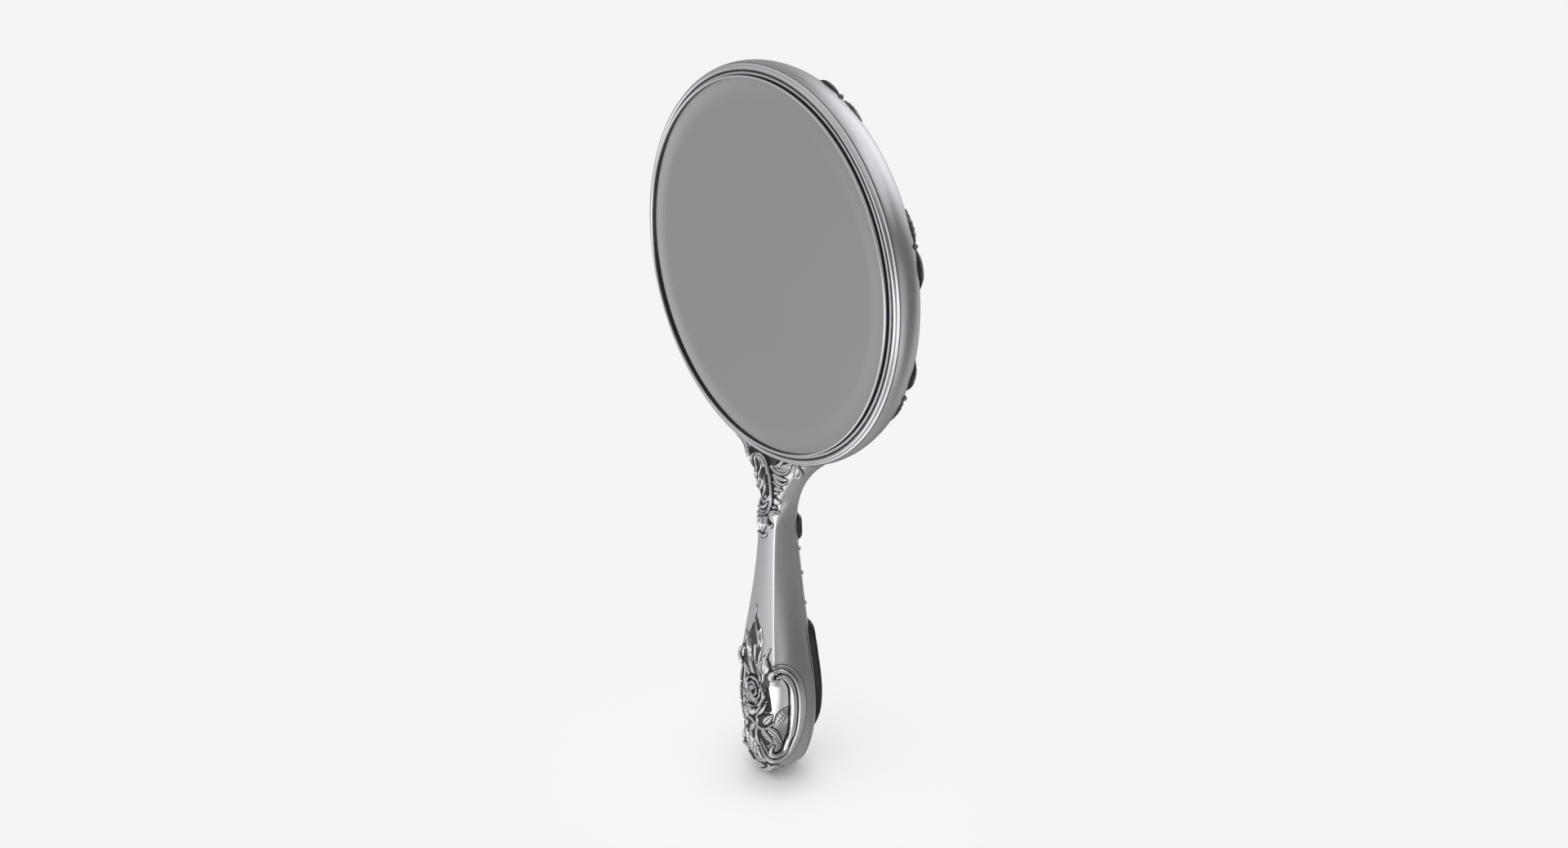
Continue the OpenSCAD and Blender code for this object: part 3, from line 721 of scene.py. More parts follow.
# --------------------------------------------------------------------------
# Materials
class Graph:
    """Short calls for building a node tree."""

    def __init__(self, tree):
        self.tree = tree
        tree.nodes.clear()

    def node(self, kind, **props):
        node = self.tree.nodes.new(kind)
        for key, value in props.items():
            setattr(node, key, value)
        return node

    def put(self, socket, value):
        """Links a socket, or sets a number or an RGB colour."""
        if hasattr(value, "links"):
            self.tree.links.new(value, socket)
        else:
            socket.default_value = (*value, 1) if isinstance(value, tuple) else value

    def coordinates(self, kind="Object"):
        return self.node("ShaderNodeTexCoord").outputs[kind]

    def math(self, operation, *values, clamp=False):
        node = self.node("ShaderNodeMath", operation=operation, use_clamp=clamp)
        for socket, value in zip(node.inputs, values):
            self.put(socket, value)
        return node.outputs[0]

    def vector_math(self, operation, vector, constant):
        node = self.node("ShaderNodeVectorMath", operation=operation)
        self.put(node.inputs[0], vector)
        node.inputs[1].default_value = constant
        return node.outputs["Value"]

    def ramp(self, value, start, end, low=0.0, high=1.0, kind="SMOOTHSTEP"):
        node = self.node("ShaderNodeMapRange", interpolation_type=kind)
        for socket, number in zip(node.inputs, (value, start, end, low, high)):
            self.put(socket, number)
        return node.outputs[0]

    def mix(self, factor, first, second):
        node = self.node("ShaderNodeMix", data_type="RGBA")
        self.put(node.inputs["Factor"], factor)
        self.put(node.inputs[6], first)
        self.put(node.inputs[7], second)
        return node.outputs[2]


class Surface(Graph):
    """A Principled material with noise in object coordinates, in millimetres."""

    def __init__(self, name):
        self.material = bpy.data.materials.new(name)
        self.material.use_nodes = True
        super().__init__(self.material.node_tree)
        output = self.node("ShaderNodeOutputMaterial")
        self.shader = self.node("ShaderNodeBsdfPrincipled")
        self.put(output.inputs[0], self.shader.outputs[0])
        self.position = self.coordinates()

    def noise(self, scale, detail=3, rough=0.5, turn=None, shift=(0, 0, 0)):
        """Noise turned first, then stretched. scale is one number or one for each axis."""
        position = self.position
        if turn:
            mapping = self.node("ShaderNodeMapping")
            self.put(mapping.inputs[0], position)
            mapping.inputs["Rotation"].default_value = turn
            position = mapping.outputs[0]
        mapping = self.node("ShaderNodeMapping")
        self.put(mapping.inputs[0], position)
        scale = scale if isinstance(scale, tuple) else (scale,) * 3
        mapping.inputs["Scale"].default_value = [1000 * x for x in scale]
        mapping.inputs["Location"].default_value = shift
        noise = self.node("ShaderNodeTexNoise")
        self.put(noise.inputs["Vector"], mapping.outputs[0])
        for key, value in (("Scale", 1), ("Detail", detail), ("Roughness", rough)):
            noise.inputs[key].default_value = value
        return noise.outputs[0]

    def attribute(self, name):
        return self.node("ShaderNodeAttribute", attribute_name=name).outputs["Fac"]

    def bump(self, height, distance, strength, normal=None):
        node = self.node("ShaderNodeBump")
        node.inputs["Strength"].default_value = strength
        node.inputs["Distance"].default_value = distance * MM
        self.put(node.inputs["Height"], height)
        if normal is not None:
            self.put(node.inputs["Normal"], normal)
        return node.outputs[0]

    def finish(self, **values):
        for key, value in values.items():
            self.put(self.shader.inputs[key.replace("_", " ")], value)
        return self.material


SILVER = (0.83, 0.825, 0.845)
OXIDE_AND_SHADE = (0.045, 0.042, 0.048)
# Turn, stretch across and threshold of each set of hairline scratches.
HAIRLINES = [((0.3, 0.5, 0.2), 3.4, 0.672), ((1.2, -0.4, 0.9), 4.2, 0.684),
             ((-0.7, 0.9, 2.1), 2.6, 0.69)]


def silver(name, rough, scratch, tarnish_and_shade, mottle, grain, relief):
    mat = Surface(name)
    big = mat.noise(scale=0.05, rough=0.55, shift=(3, 1, 7))
    mid = mat.noise(scale=0.5, detail=4, rough=0.6, shift=(9, 4, 2))
    fine = mat.noise(scale=4.5, rough=0.6)
    lines = None
    for i, (turn, stretch, limit) in enumerate(HAIRLINES):
        noise = mat.noise(scale=(0.07, stretch, stretch), detail=2, turn=turn, shift=(5 * i, 3, 8))
        line = mat.ramp(noise, start=limit, end=limit + 0.03)
        lines = line if lines is None else mat.math("MAXIMUM", lines, line)
    pits = mat.ramp(mat.noise(scale=1.6, detail=2, shift=(2, 8, 4)), start=0.735, end=0.775)

    # Oxide and painted shade from the mesh, broken up by the middle noise.
    oxide_and_shade = mat.attribute("tarnish_and_shade")
    oxide_and_shade = mat.math("MULTIPLY", oxide_and_shade, mat.ramp(mid, start=0.25, end=0.7, low=0.86, high=1.06))
    oxide_and_shade = mat.math("MULTIPLY", mat.ramp(oxide_and_shade, start=0.08, end=0.85), tarnish_and_shade, clamp=True)
    haze = mat.math("MULTIPLY", mat.ramp(big, start=0.4, end=0.75), 0.14)
    cool = (SILVER[0] * 0.96, SILVER[1] * 0.955, SILVER[2] * 0.985)
    tint = mat.mix(big, cool, (SILVER[0] * 1.02, SILVER[1] * 1.01, SILVER[2]))
    tint = mat.mix(haze, tint, (0.62, 0.6, 0.6))
    tint = mat.mix(mat.math("MULTIPLY", lines, 0.22 * scratch), tint, (0.5, 0.5, 0.52))
    tint = mat.mix(mat.math("MULTIPLY", pits, 0.35), tint, (0.3, 0.29, 0.3))
    color = mat.mix(oxide_and_shade, tint, OXIDE_AND_SHADE)

    # Rougher where oxidised, painted dark or scratched, smoother on the crests.
    crest = mat.attribute("crest")
    base = mat.ramp(mid, start=0.3, end=0.75, low=rough - mottle * 0.5, high=rough + mottle)
    roughness = mat.math("ADD", base, mat.math("MULTIPLY", oxide_and_shade, 0.26))
    roughness = mat.math("SUBTRACT", roughness, mat.math("MULTIPLY", crest, 0.05))
    roughness = mat.math(
        "ADD", roughness, mat.math("MULTIPLY", lines, 0.12 * scratch), clamp=True)
    height = mat.math("ADD", mat.math("MULTIPLY", lines, -0.5 * scratch),
                      mat.math("MULTIPLY", pits, -0.8))
    height = mat.math("ADD", height, mat.math("MULTIPLY", fine, grain))
    normal = mat.bump(height, distance=0.012, strength=0.5)
    normal = mat.bump(mid, distance=0.03, strength=relief, normal=normal)
    metallic = mat.ramp(oxide_and_shade, start=0.0, end=1.0, low=1.0, high=0.75)
    return mat.finish(Base_Color=color, Metallic=metallic, Roughness=roughness, Normal=normal)


def plain(name, color, other_color, rough, metal, scale, stretch, bump):
    """Two mottled tones with a rough grain, for the inner parts."""
    mat = Surface(name)
    coarse = mat.noise(scale=tuple(scale * x for x in stretch), detail=4, rough=0.6)
    fine = mat.noise(scale=tuple(6 * scale * x for x in stretch), rough=0.6, shift=(4, 4, 1))
    height = mat.math("ADD", coarse, mat.math("MULTIPLY", fine, 0.4))
    return mat.finish(
        Base_Color=mat.mix(mat.ramp(coarse, start=0.3, end=0.7), color, other_color),
        Metallic=metal,
        Roughness=mat.ramp(fine, start=0.3, end=0.7, low=rough - 0.06, high=rough + 0.08),
        Normal=mat.bump(height, distance=bump, strength=0.6))


def mirror_material():
    mat = Surface("silvered_glass")
    big = mat.noise(scale=0.018, detail=2, shift=(1, 5, 2))
    dust = mat.ramp(mat.noise(scale=2.2, detail=2), start=0.72, end=0.8)
    position = mat.node("ShaderNodeSeparateXYZ")
    mat.put(position.inputs[0], mat.position)
    x, _, z = position.outputs
    radius = mat.math("SQRT", mat.math(
        "ADD", mat.math("POWER", x, 2.0), mat.math("POWER", z, 2.0)))
    # The glass darkens over its last two millimetres towards the rim, with a ragged inner edge.
    ragged = mat.math("ADD", radius, mat.math("MULTIPLY", mat.noise(scale=0.3), 0.0022))
    edge = mat.math("MULTIPLY", mat.ramp(ragged, start=0.0616, end=0.0636), 0.35)
    # A grey-green cast over the flat; the bevel carries a painted reflection, pale on the left (-X)
    # and dark on the right (+X).
    color = mat.mix(big, (0.60, 0.612, 0.585), (0.625, 0.635, 0.61))
    side = mat.ramp(x, start=-0.05, end=0.05, kind="LINEAR")
    painted_bevel_reflection = mat.mix(side, (0.88, 0.89, 0.875), (0.385, 0.39, 0.375))
    color = mat.mix(mat.ramp(radius, start=0.0545, end=0.0626), color, painted_bevel_reflection)
    color = mat.mix(edge, color, (0.42, 0.42, 0.38))
    color = mat.mix(mat.math("MULTIPLY", dust, 0.05), color, (0.7, 0.7, 0.7))
    return mat.finish(
        Base_Color=color, Metallic=1.0,
        Roughness=mat.ramp(big, start=0.3, end=0.7, low=0.02, high=0.035),
        Coat_Weight=0.25, Coat_Roughness=0.02,
        Normal=mat.bump(mat.noise(scale=0.03, detail=1), distance=0.01, strength=0.1))


BRIGHT = silver("polished_silver", rough=0.15, scratch=0.3, tarnish_and_shade=1.0, mottle=0.03,
                grain=0.0, relief=0.03)
SATIN = silver("satin_silver", rough=0.24, scratch=0.45, tarnish_and_shade=0.8, mottle=0.03,
               grain=0.015, relief=0.06)
RELIEF = silver("relief_silver", rough=0.27, scratch=0.15, tarnish_and_shade=1.0, mottle=0.04,
                grain=0.02, relief=0.05)
DISC = silver("back_silver", rough=0.2, scratch=0.7, tarnish_and_shade=1.0, mottle=0.04,
              grain=0.02, relief=0.08)
GLASS = mirror_material()

# CAD node: material, two colours, roughness, metal, noise scale, its stretch, bump in mm.
INNER = {
    "felt_pad": ("wool_felt", (0.16, 0.03, 0.05), (0.24, 0.06, 0.08), 0.92, 0,
                 1.4, (1, 1, 1), 0.12),
    "backing_board": ("strawboard", (0.36, 0.27, 0.16), (0.46, 0.36, 0.23), 0.85, 0,
                      0.8, (1, 1, 1), 0.06),
    "wood_packing": ("turned_beech", (0.42, 0.26, 0.13), (0.58, 0.39, 0.22), 0.6, 0,
                     0.25, (1, 1, 0.08), 0.05),
    "tang_rod": ("mild_steel", (0.30, 0.30, 0.31), (0.40, 0.40, 0.42), 0.42, 1,
                 0.9, (1, 1, 0.1), 0.02),
    "tang_plate": ("rolled_steel", (0.30, 0.30, 0.31), (0.38, 0.37, 0.37), 0.46, 1,
                   0.7, (0.15, 1, 1), 0.02),
    "tang_rivets": ("rivet_brass", (0.62, 0.44, 0.17), (0.72, 0.54, 0.24), 0.32, 1,
                    1.2, (1, 1, 1), 0.02),
    "tang_screws": ("screw_brass", (0.60, 0.42, 0.16), (0.70, 0.52, 0.22), 0.36, 1,
                    1.2, (1, 1, 1), 0.02),
}
for node_name, look in INNER.items():
    inner_mesh = frame["nodes"][node_name].data
    inner_mesh.materials.clear()
    inner_mesh.materials.append(plain(*look))
    for polygon in inner_mesh.polygons:
        polygon.material_index = 0
PITCH = plain("pitch_filler", (0.035, 0.026, 0.02), (0.07, 0.05, 0.04), rough=0.5, metal=0,
              scale=0.9, stretch=(1, 1, 1), bump=0.15)


# --------------------------------------------------------------------------
# Glass, bezel, rim and head. Outlines are (radius, depth) points.
def near_points(outline, points, width):
    """Tarnish that gathers around some points of an outline."""
    gaps = outline[:, None] - np.array(points)
    distance = np.min(np.hypot(gaps[..., 0], gaps[..., 1]), 1)
    return np.clip(1 - distance / width, 0, 1) ** 0.8


def glass():
    """A disc whose ground bevel starts almost flat."""
    flat_r = GLASS_R - BEVEL_W
    outline = [[r, 0.0] for r in np.linspace(2, flat_r, 22)]
    outline += [[flat_r + BEVEL_W * t, BEVEL_DEPTH * t ** 1.8] for t in np.linspace(0, 1, 34)[1:]]
    outline += [[GLASS_R, 2.85], [GLASS_R - 0.15, GLASS_T]]
    outline += [[r, GLASS_T] for r in np.linspace(55, 2, 8)]
    turned_piece("mirror_plate", *np.array(outline).T, GLASS, "mirror_glass", "mirror_glass",
                 tarnish_and_shade=0.0, segments=384, poles=(0, GLASS_T), gap=len(outline) - 1, crest=None)


def bezel():
    lip = [[62.6, 0.545], [62.6, -1.2], *arc(63.0, -1.2, 0.4, 180, 360, 26),
           [63.4, -1.1], [63.4, 0.08], [63.46, 0.2], [63.6, 0.25]]
    outline = np.vstack([resample(lip, 0.06), [
        [64.0, 0.26], [64.4, 0.27], [64.4, 5.2], [63.45, 5.2], [63.45, 0.6]]])
    r, y = outline.T
    # Painted shade: the inner wall and the bead's outer flank are coloured near black, and the
    # ledge darkens towards the rim, partly oxide in that joint.
    inner_wall_painted_shade = np.where(r < 62.7, 0.97 * smooth_step(y, -1.25, -0.9), 0.0)
    outer_flank_painted_shade = np.where((r > 63.3) & (r < 63.6), 0.9 * smooth_step(y, -1.1, -0.7), 0.0)
    ledge_shade_and_oxide = np.where((r >= 63.6) & (y < 1), 0.25 + 0.4 * smooth_step(r, 64.1, 64.4), 0.0)
    ring = turned_piece("bezel_ring", r, y, BRIGHT, "glass_bezel", "silver_bright",
                        inner_wall_painted_shade + outer_flank_painted_shade + ledge_shade_and_oxide)
    ring.visible_glossy = False


def rim():
    outline = np.vstack([
        [[64.44, 0.30], [64.7, 0.34]],
        resample(arc(65.6, 0.7, 0.7, 206, 390, 40), 0.06),
        [[66.25, 1.1], [66.36, 1.18], [66.5, 1.24], [66.7, 1.26], [66.86, 1.32], [66.94, 1.48],
         [66.97, 1.64], [66.05, 1.66], [66.05, 4.0], [64.44, 4.0]]])
    creases = [[64.44, 0.3], [64.7, 0.36], [64.92, 0.5], [67.0, 1.66]]
    turned_piece("rim_ring", *outline.T, BRIGHT, "rim_moulding", "silver_bright",
                 near_points(outline, creases, 0.24))


def head():
    """The back pan: its outer skin from the front edge to the axis, then the inner one back."""
    edge_y = 1.66
    outer = [[float(wall_r(PAN_EDGE_Y)) - 0.1, edge_y]] + HEAD[::-1].tolist()
    outer = [point for point in outer if point[0] > 0.5]
    inner = [[r, float(back_y(r)) - WALL] for r in np.linspace(0, 63.4, 26)[1:]]
    inner += [[64.5, 10.35], [65.1, 9.9]]
    inner += [[float(wall_r(y)) - WALL, y] for y in np.linspace(9.4, PAN_EDGE_Y, 16)]
    outline = np.array(outer + inner)
    r, y = outline.T
    around_disc = 0.85 * np.clip(1 - np.abs(r - 23.3) / 0.7, 0, 1) * (y > 13)
    edge = near_points(outline, [[67.0, edge_y], [67.0, PAN_EDGE_Y]], 0.3)
    turned_piece("head_back_pan", r, y, SATIN, "head_shell", "silver_satin",
                 np.maximum(edge, around_disc), poles=(14.0, 14.0 - WALL), gap=len(outer) - 1)


glass()
bezel()
rim()
head()

# --------------------------------------------------------------------------
# Handle shells and filler
# (Y, height) points of the outer edge of the side scroll.
C_OUTER = [
    (-4.4, -146.0), (-2.6, -144.8), (0.2, -144.9), (3.4, -146.8), (6.4, -150.2), (8.9, -154.6),
    (10.2, -159.6), (10.5, -165.2), (9.8, -171.2), (8.0, -176.4), (5.2, -180.4), (1.8, -182.2),
    (-1.6, -182.2), (-4.8, -180.7), (-6.6, -178.4)]


def slide_out(points, limit):
    """Slides what would lie inside a radius out to it. Also returns which points moved."""
    x, y, z = points[..., 0], points[..., 1], points[..., 2]
    radius = np.hypot(x, z)
    moved = (radius < limit) & (z > NECK_TOP_Z)
    factor = np.where(moved, limit / np.maximum(radius, 1e-6), 1)
    return np.stack([x * factor, y, z * factor], -1), moved


def trim_to_head(points):
    """Ends the handle just under the head's skin."""
    y = points[..., 1]
    limit = np.where(y > 8.6, 66.7 - 0.8 * np.clip(y - 8.6, 0, 5) ** 1.1, 66.7)
    return slide_out(points, limit)


def handle_heights(tip):
    counts = ((170, 150, 120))
    neck_end = -96
    neck = np.linspace(-61.2, neck_end, counts[0], endpoint=False)
    grip = np.linspace(neck_end, WIDE_Z, counts[1], endpoint=False)
    curve = np.sin(np.radians(np.linspace(0, 89.6, counts[2]))) ** 0.85
    return np.concatenate([neck, grip, WIDE_Z - (WIDE_Z - tip) * curve])


def handle_shell(name, front, node):
    counts = (22, 8, 26, 8, 20)
    seam = sum(counts[:3])
    sheets = []
    for inset in (0.0, WALL):
        z = handle_heights(TIP_Z + inset)
        section = sections(z, counts, inset)
        if front:
            x, y = section.x[:, :seam + 1], section.y[:, :seam + 1]
            x = np.concatenate([-x[:, :0:-1], x], 1)
            y = np.concatenate([y[:, :0:-1], y], 1)
        else:
            x, y = section.x[:, seam:], section.y[:, seam:]
            x = np.concatenate([x, -x[:, -2::-1]], 1)
            y = np.concatenate([y, y[:, -2::-1]], 1) + 0.02  # a hair behind the front shell
        sheets.append(np.stack([x, y, z[:, None] * np.ones_like(x)], -1))
    outer, moved = trim_to_head(sheets[0])
    inner, _ = trim_to_head(sheets[1])
    faces = grid_faces(*moved.shape)
    faces = faces[~moved.ravel()[faces].all(1)]
    verts, parts, used = solid_from_sheets(outer.reshape(-1, 3), inner.reshape(-1, 3), faces)

    # Tarnish lies in the seam and where the neck meets the head.
    tarnish_and_shade = np.zeros(moved.shape)
    tarnish_and_shade[:, [0, -1]] = 0.75
    radius = np.hypot(outer[..., 0], outer[..., 2])
    tarnish_and_shade = np.maximum(tarnish_and_shade, 0.9 * np.clip(1 - np.abs(radius - 67.6) / 0.5, 0, 1))
    # Painted shade inside the lower side scrolls, around the leaves.
    x, y, down = np.abs(outer[..., 0]), outer[..., 1], -outer[..., 2]
    inside = smooth_step(down, 160, 170) * (1 - smooth_step(down, 177, 182))
    inside = inside * (1 - smooth_step(y, 5, 8.5)) * smooth_step(x, 3, 6)
    tarnish_and_shade = np.maximum(tarnish_and_shade, 0.58 * inside)
    if front:
        # And painted shade in the angle outside them, a dark halo along the scroll's outer edge.
        edge = to_skin(path(with_sizes(C_OUTER[:11], [1], [0.8])), "side", 9.0)[::2]
        distance = np.hypot(y[..., None] - edge[:, 0], -down[..., None] - edge[:, 1]).min(-1)
        angle = 0.55 * np.clip(1 - (distance - 1.2) / 2.3, 0, 1) ** 1.5 * smooth_step(x, 4, 7)
        tarnish_and_shade = np.maximum(tarnish_and_shade, angle)
    tarnish_and_shade = tarnish_and_shade.ravel()[used]
    add_mesh(name, verts, parts, SATIN, node,
             np.concatenate([tarnish_and_shade, np.zeros(len(tarnish_and_shade))]))


def handle_core():
    """The filler, cast to the inside of the shells and around the rod and plate."""
    inset = 1.2
    rod_y, rod_r, rod_end = 5.9, 2.05, -168.4
    plate_half, plate_depth, plate_back, plate_z = 2.95, 3.1, 1.1, -90.4
    heights = handle_heights(TIP_Z + inset)
    section = sections(heights, (14, 8, 16, 6, 14), inset)
    x = np.concatenate([section.x, -section.x[:, -2:0:-1]], 1)
    y = np.concatenate([section.y, section.y[:, -2:0:-1]], 1)
    rows, columns = x.shape
    z = heights[:, None] * np.ones_like(x)
    outer, _ = slide_out(np.stack([x, y, z], -1), 67.2)
    angle = (2 * np.pi * np.arange(columns) / columns)[None, :]
    at_plate = (heights > plate_z)[:, None]
    half_x, half_y = np.where(at_plate, plate_half, rod_r), np.where(at_plate, plate_depth, rod_r)
    power = np.where(at_plate, 0.4, 1.0)
    sine, cosine = np.sin(angle), -np.cos(angle)
    shut = np.where(heights < rod_end, 0.02, 1.0)[:, None]
    bottom = rod_end - 0.001 * np.arange(rows)[:, None]
    inner = np.stack([
        shut * half_x * np.sign(sine) * np.abs(sine) ** power,
        rod_y + np.where(at_plate, plate_back, 0.0)
        + shut * half_y * np.sign(cosine) * np.abs(cosine) ** power,
        np.where(z < rod_end, bottom, outer[..., 2])], -1)
    verts, faces, _ = solid_from_sheets(
        outer.reshape(-1, 3), inner.reshape(-1, 3), grid_faces(rows, columns, False, True))
    add_mesh("pitch_core", verts, faces, PITCH, "handle_core", 0.0, crest=None)


handle_shell("handle_front_pressing", True, "handle_front_shell")
handle_shell("handle_back_pressing", False, "handle_back_shell")
handle_core()

# --------------------------------------------------------------------------
# Ornament. Relief.draw() explains the drawings. V is the height on the handle.
ON_FRONT, ON_SIDE, ON_BACK = [partial(on_skin, face=face) for face in ("front", "side", "back")]

NECK_FRONT = """
piece leaves
# Oxidised ground between the ornament and the rim.
ground 4.0 -67.6, 8 -66, 12 -63.6, 15 -61.5 | 1.2 1.6 1.5 | 0.06 0.8
ground 3.6 -69.4, 4.0 -73, 4.1 -78, 3.9 -82, 3.4 -85.4 | 1.6 1.9 1.7 1.2 | 0.05 0.85
ground 5.4 -70.6, 7.6 -72.2, 7.4 -74.6, 5.8 -76.4 | 1.8 1.9 1.6 1.2 | 0.05 0.8
ground -19 -63.4, -14 -66.4, -10.5 -70, -9.4 -74, -8.8 -77 | 1.6 2.4 2.2 1.2 | 0.05 0.6
piece scroll
ground -8.4 -69, -6 -66.2, -2 -65.6, 1.2 -67.4, 3 -70.4 | 1.2 1.7 1.9 1.2 | 0.05 0.95
ground -4.6 -70, -3.4 -76, -3.2 -82, -3 -87.4 | 3.0 3.6 3.4 2.6 | 0.08 0.9
# Leaves left of the scroll.
piece leaves
leaf -20.8 -65.2, -14.8 -63.8 | 1.5 0.9 0.3 4 0.2
leaf -10.2 -72.4, -16.9 -66.2 | 1.75 1.15 -0.5 5 0.22
leaf -9.0 -71.4, -11.2 -65.4 | 1.35 1.25 0.4 4 0.1
dome -9.2 -77.6, -10.3 -75.2, -10.4 -72.6 | 0.5 1.05 0.5 | 0.6 0.9 0.6
# Fan of leaflets on the right, longest at the top.
leaf 5.6 -69.4, 15.6 -63.1 | 1.15 1.1 -1.2 5 0 | widest=0.4
lip_right 2.8 -69.8, 5.6 -70.4, 9.4 -70, 12.4 -67.9, 14.6 -64.6
  | 0.4 0.95 1.05 0.7 0.15 | 1.0 1.3 1.2 0.9 0.4
grooved 4.2 -69.4, 6.8 -68.3, 9.0 -66.2, 10.6 -63.8 | 0.35 0.7 0.55 0.12 | 1.0 1.25 1.0 0.4
leaf 4.0 -71.9, 12.9 -71.3 | 0.85 1.2 -1.0 5 0 | widest=0.42
dome 4.2 -72.3, 6.4 -74.2, 9.6 -74.3, 12.4 -72.4 | 0.3 0.55 0.5 0.12 | 0.8 1.2 1.1 0.4 | moat=0.15
dome 4.4 -75.0, 7 -75.7, 9.8 -75.2 | 0.3 0.5 0.12 | 0.8 1.0 0.4
leaf 4.7 -77.1, 10.1 -75.9 | 0.95 1.15 -0.45 3 0
leaf 4.6 -79.0, 8.2 -77.9 | 0.62 1.0 -0.25 3 0
gutter 3.8 -81.9, 5.6 -81.9, 7.2 -81.6, 8.0 -80.9 | 0.5 1.25 1.15 0.35 | 0.8 1.2 1.1 0.5
dome 3.3 -84.6, 5.0 -84.4, 6.8 -84.0 | 0.5 0.8 0.25 | 0.9 1.1 0.5
leaf 0.8 -88.3, 8.9 -85.2 | 1.05 1.35 0.35 3 0 | widest=0.42 fall=0.5
# Comma bud beside the rim.
lip_right 16.4 -69.4, 17.9 -68.6, 18.3 -66.6, 17.4 -64.6, 18.4 -62.9
  | 0.45 1.25 1.35 0.8 0.25 | 0.8 1.2 1.2 0.8 0.4
# The tall scroll: inner webs first, then the ribbon over them.
piece scroll
pillow -4.4 -71.2, -2.4 -72, -1.6 -74, -2.2 -77 | 1.5 1.5 1.2 0.8 | 0.5 0.6 0.6 0.5 | dull=0.8
pillow 0.7 -74.5, 1.2 -78, 0.9 -81.4 | 0.7 0.9 0.5 | 0.5 0.55 0.4 | dull=0.85
dome -0.9 -74.9, -0.5 -77.6, -0.8 -80.4, -1.9 -82.9
  | 0.3 0.5 0.5 0.25 | 0.7 0.9 0.9 0.6 | moat=0.4 dull=0.3
leaf -8.9 -80.2, -5.0 -73.9 | 1.2 1.2 -0.35 3 0 | widest=0.45
lip_right -5.9 -69.1, -4.2 -68.9, -2.7 -69.8, -2.0 -71.4, -2.5 -73.2, -3.4 -74.6, -3.0 -76.2,
  -3.4 -78.2, -4.3 -80.2, -5.9 -81.9, -7.8 -82.8
  | 0.25 0.5 0.65 0.65 0.65 0.8 0.95 1.05 1.05 0.8 0.2
  | 0.9 1.1 1.1 1.0 1.0 1.25 1.35 1.3 1.2 1.0 0.5
dome 1.7 -81.2, 0.9 -83.2, -0.8 -84.2, -2.6 -83.5 | 0.3 0.55 0.5 0.2 | 1.0 1.25 1.1 0.6
lip_left -7.9 -83.4, -6.2 -84.3, -5.5 -85.9, -6.1 -88.1 | 0.3 0.8 0.8 0.4 | 0.6 1.0 1.0 0.6
dome -4.5 -86.7, -2.6 -86.9, -0.5 -85.9, 1.1 -84.0
  | 0.35 0.7 0.65 0.25 | 1.1 1.3 1.2 0.8 | moat=0.25
lip_right -6.7 -89.2, -5.2 -90.6, -3.0 -90.8, -0.8 -90.1, 1.6 -88.7
  | 0.4 0.75 0.75 0.65 0.3 | 0.9 1.2 1.2 1.1 0.6
lip_left -5.7 -73.7, -6.6 -72.6, -7.5 -71.4, -7.4 -69.6, -6.0 -68.2, -3.6 -67.5, -1.5 -68.4,
  0.2 -70.5, 1.4 -73.6, 2.2 -77.6, 2.4 -81.6, 1.9 -84.8, 0.6 -87.3, -1.6 -88.9, -4.2 -89.0,
  -5.8 -87.9, -5.5 -86.6
  | 0.45 0.75 0.85 0.75 0.65 0.7 0.85 1.0 1.05 0.95 0.95 0.95 0.85 0.75 0.7 0.55 0.3
  | 0.9 1.35 1.5 1.4 1.25 1.25 1.3 1.35 1.4 1.4 1.4 1.4 1.4 1.3 1.2 1.1 0.8 | moat=0.4
# Husk drops under the scroll.
piece husks
ground -2.6 -90.8, -2.4 -94, -2 -97 | 2.4 2.2 1.2 | 0.04 0.8
dome -3.9 -91.2, -4.2 -93.6, -3.5 -95.8 | 0.5 0.8 0.25 | 0.7 1.0 0.5
dome -0.7 -91.0, -0.7 -93.2, -1.2 -95.2 | 0.45 0.7 0.25 | 0.7 0.95 0.5
grooved -2.4 -91.0, -2.5 -93.6, -2.2 -96.0 | 0.6 0.9 0.3 | 0.9 1.2 0.7
dome 0.6 -89.6, 0.6 -91.6, 1.5 -92.9, 2.9 -92.6, 3.8 -91.2
  | 0.35 0.5 0.6 0.5 0.3 | 0.8 1.0 1.0 0.9 0.7
ground 1.4 -90, 2.2 -91.4, 3.1 -91 | 0.7 0.9 0.6 | 0.03 1.0
dome -4.6 -96.8, -3.2 -97.7, -1.6 -97.6, -0.2 -96.8, 0.7 -95.6
  | 0.3 0.55 0.6 0.5 0.2 | 0.6 0.95 1.0 0.9 0.4
"""

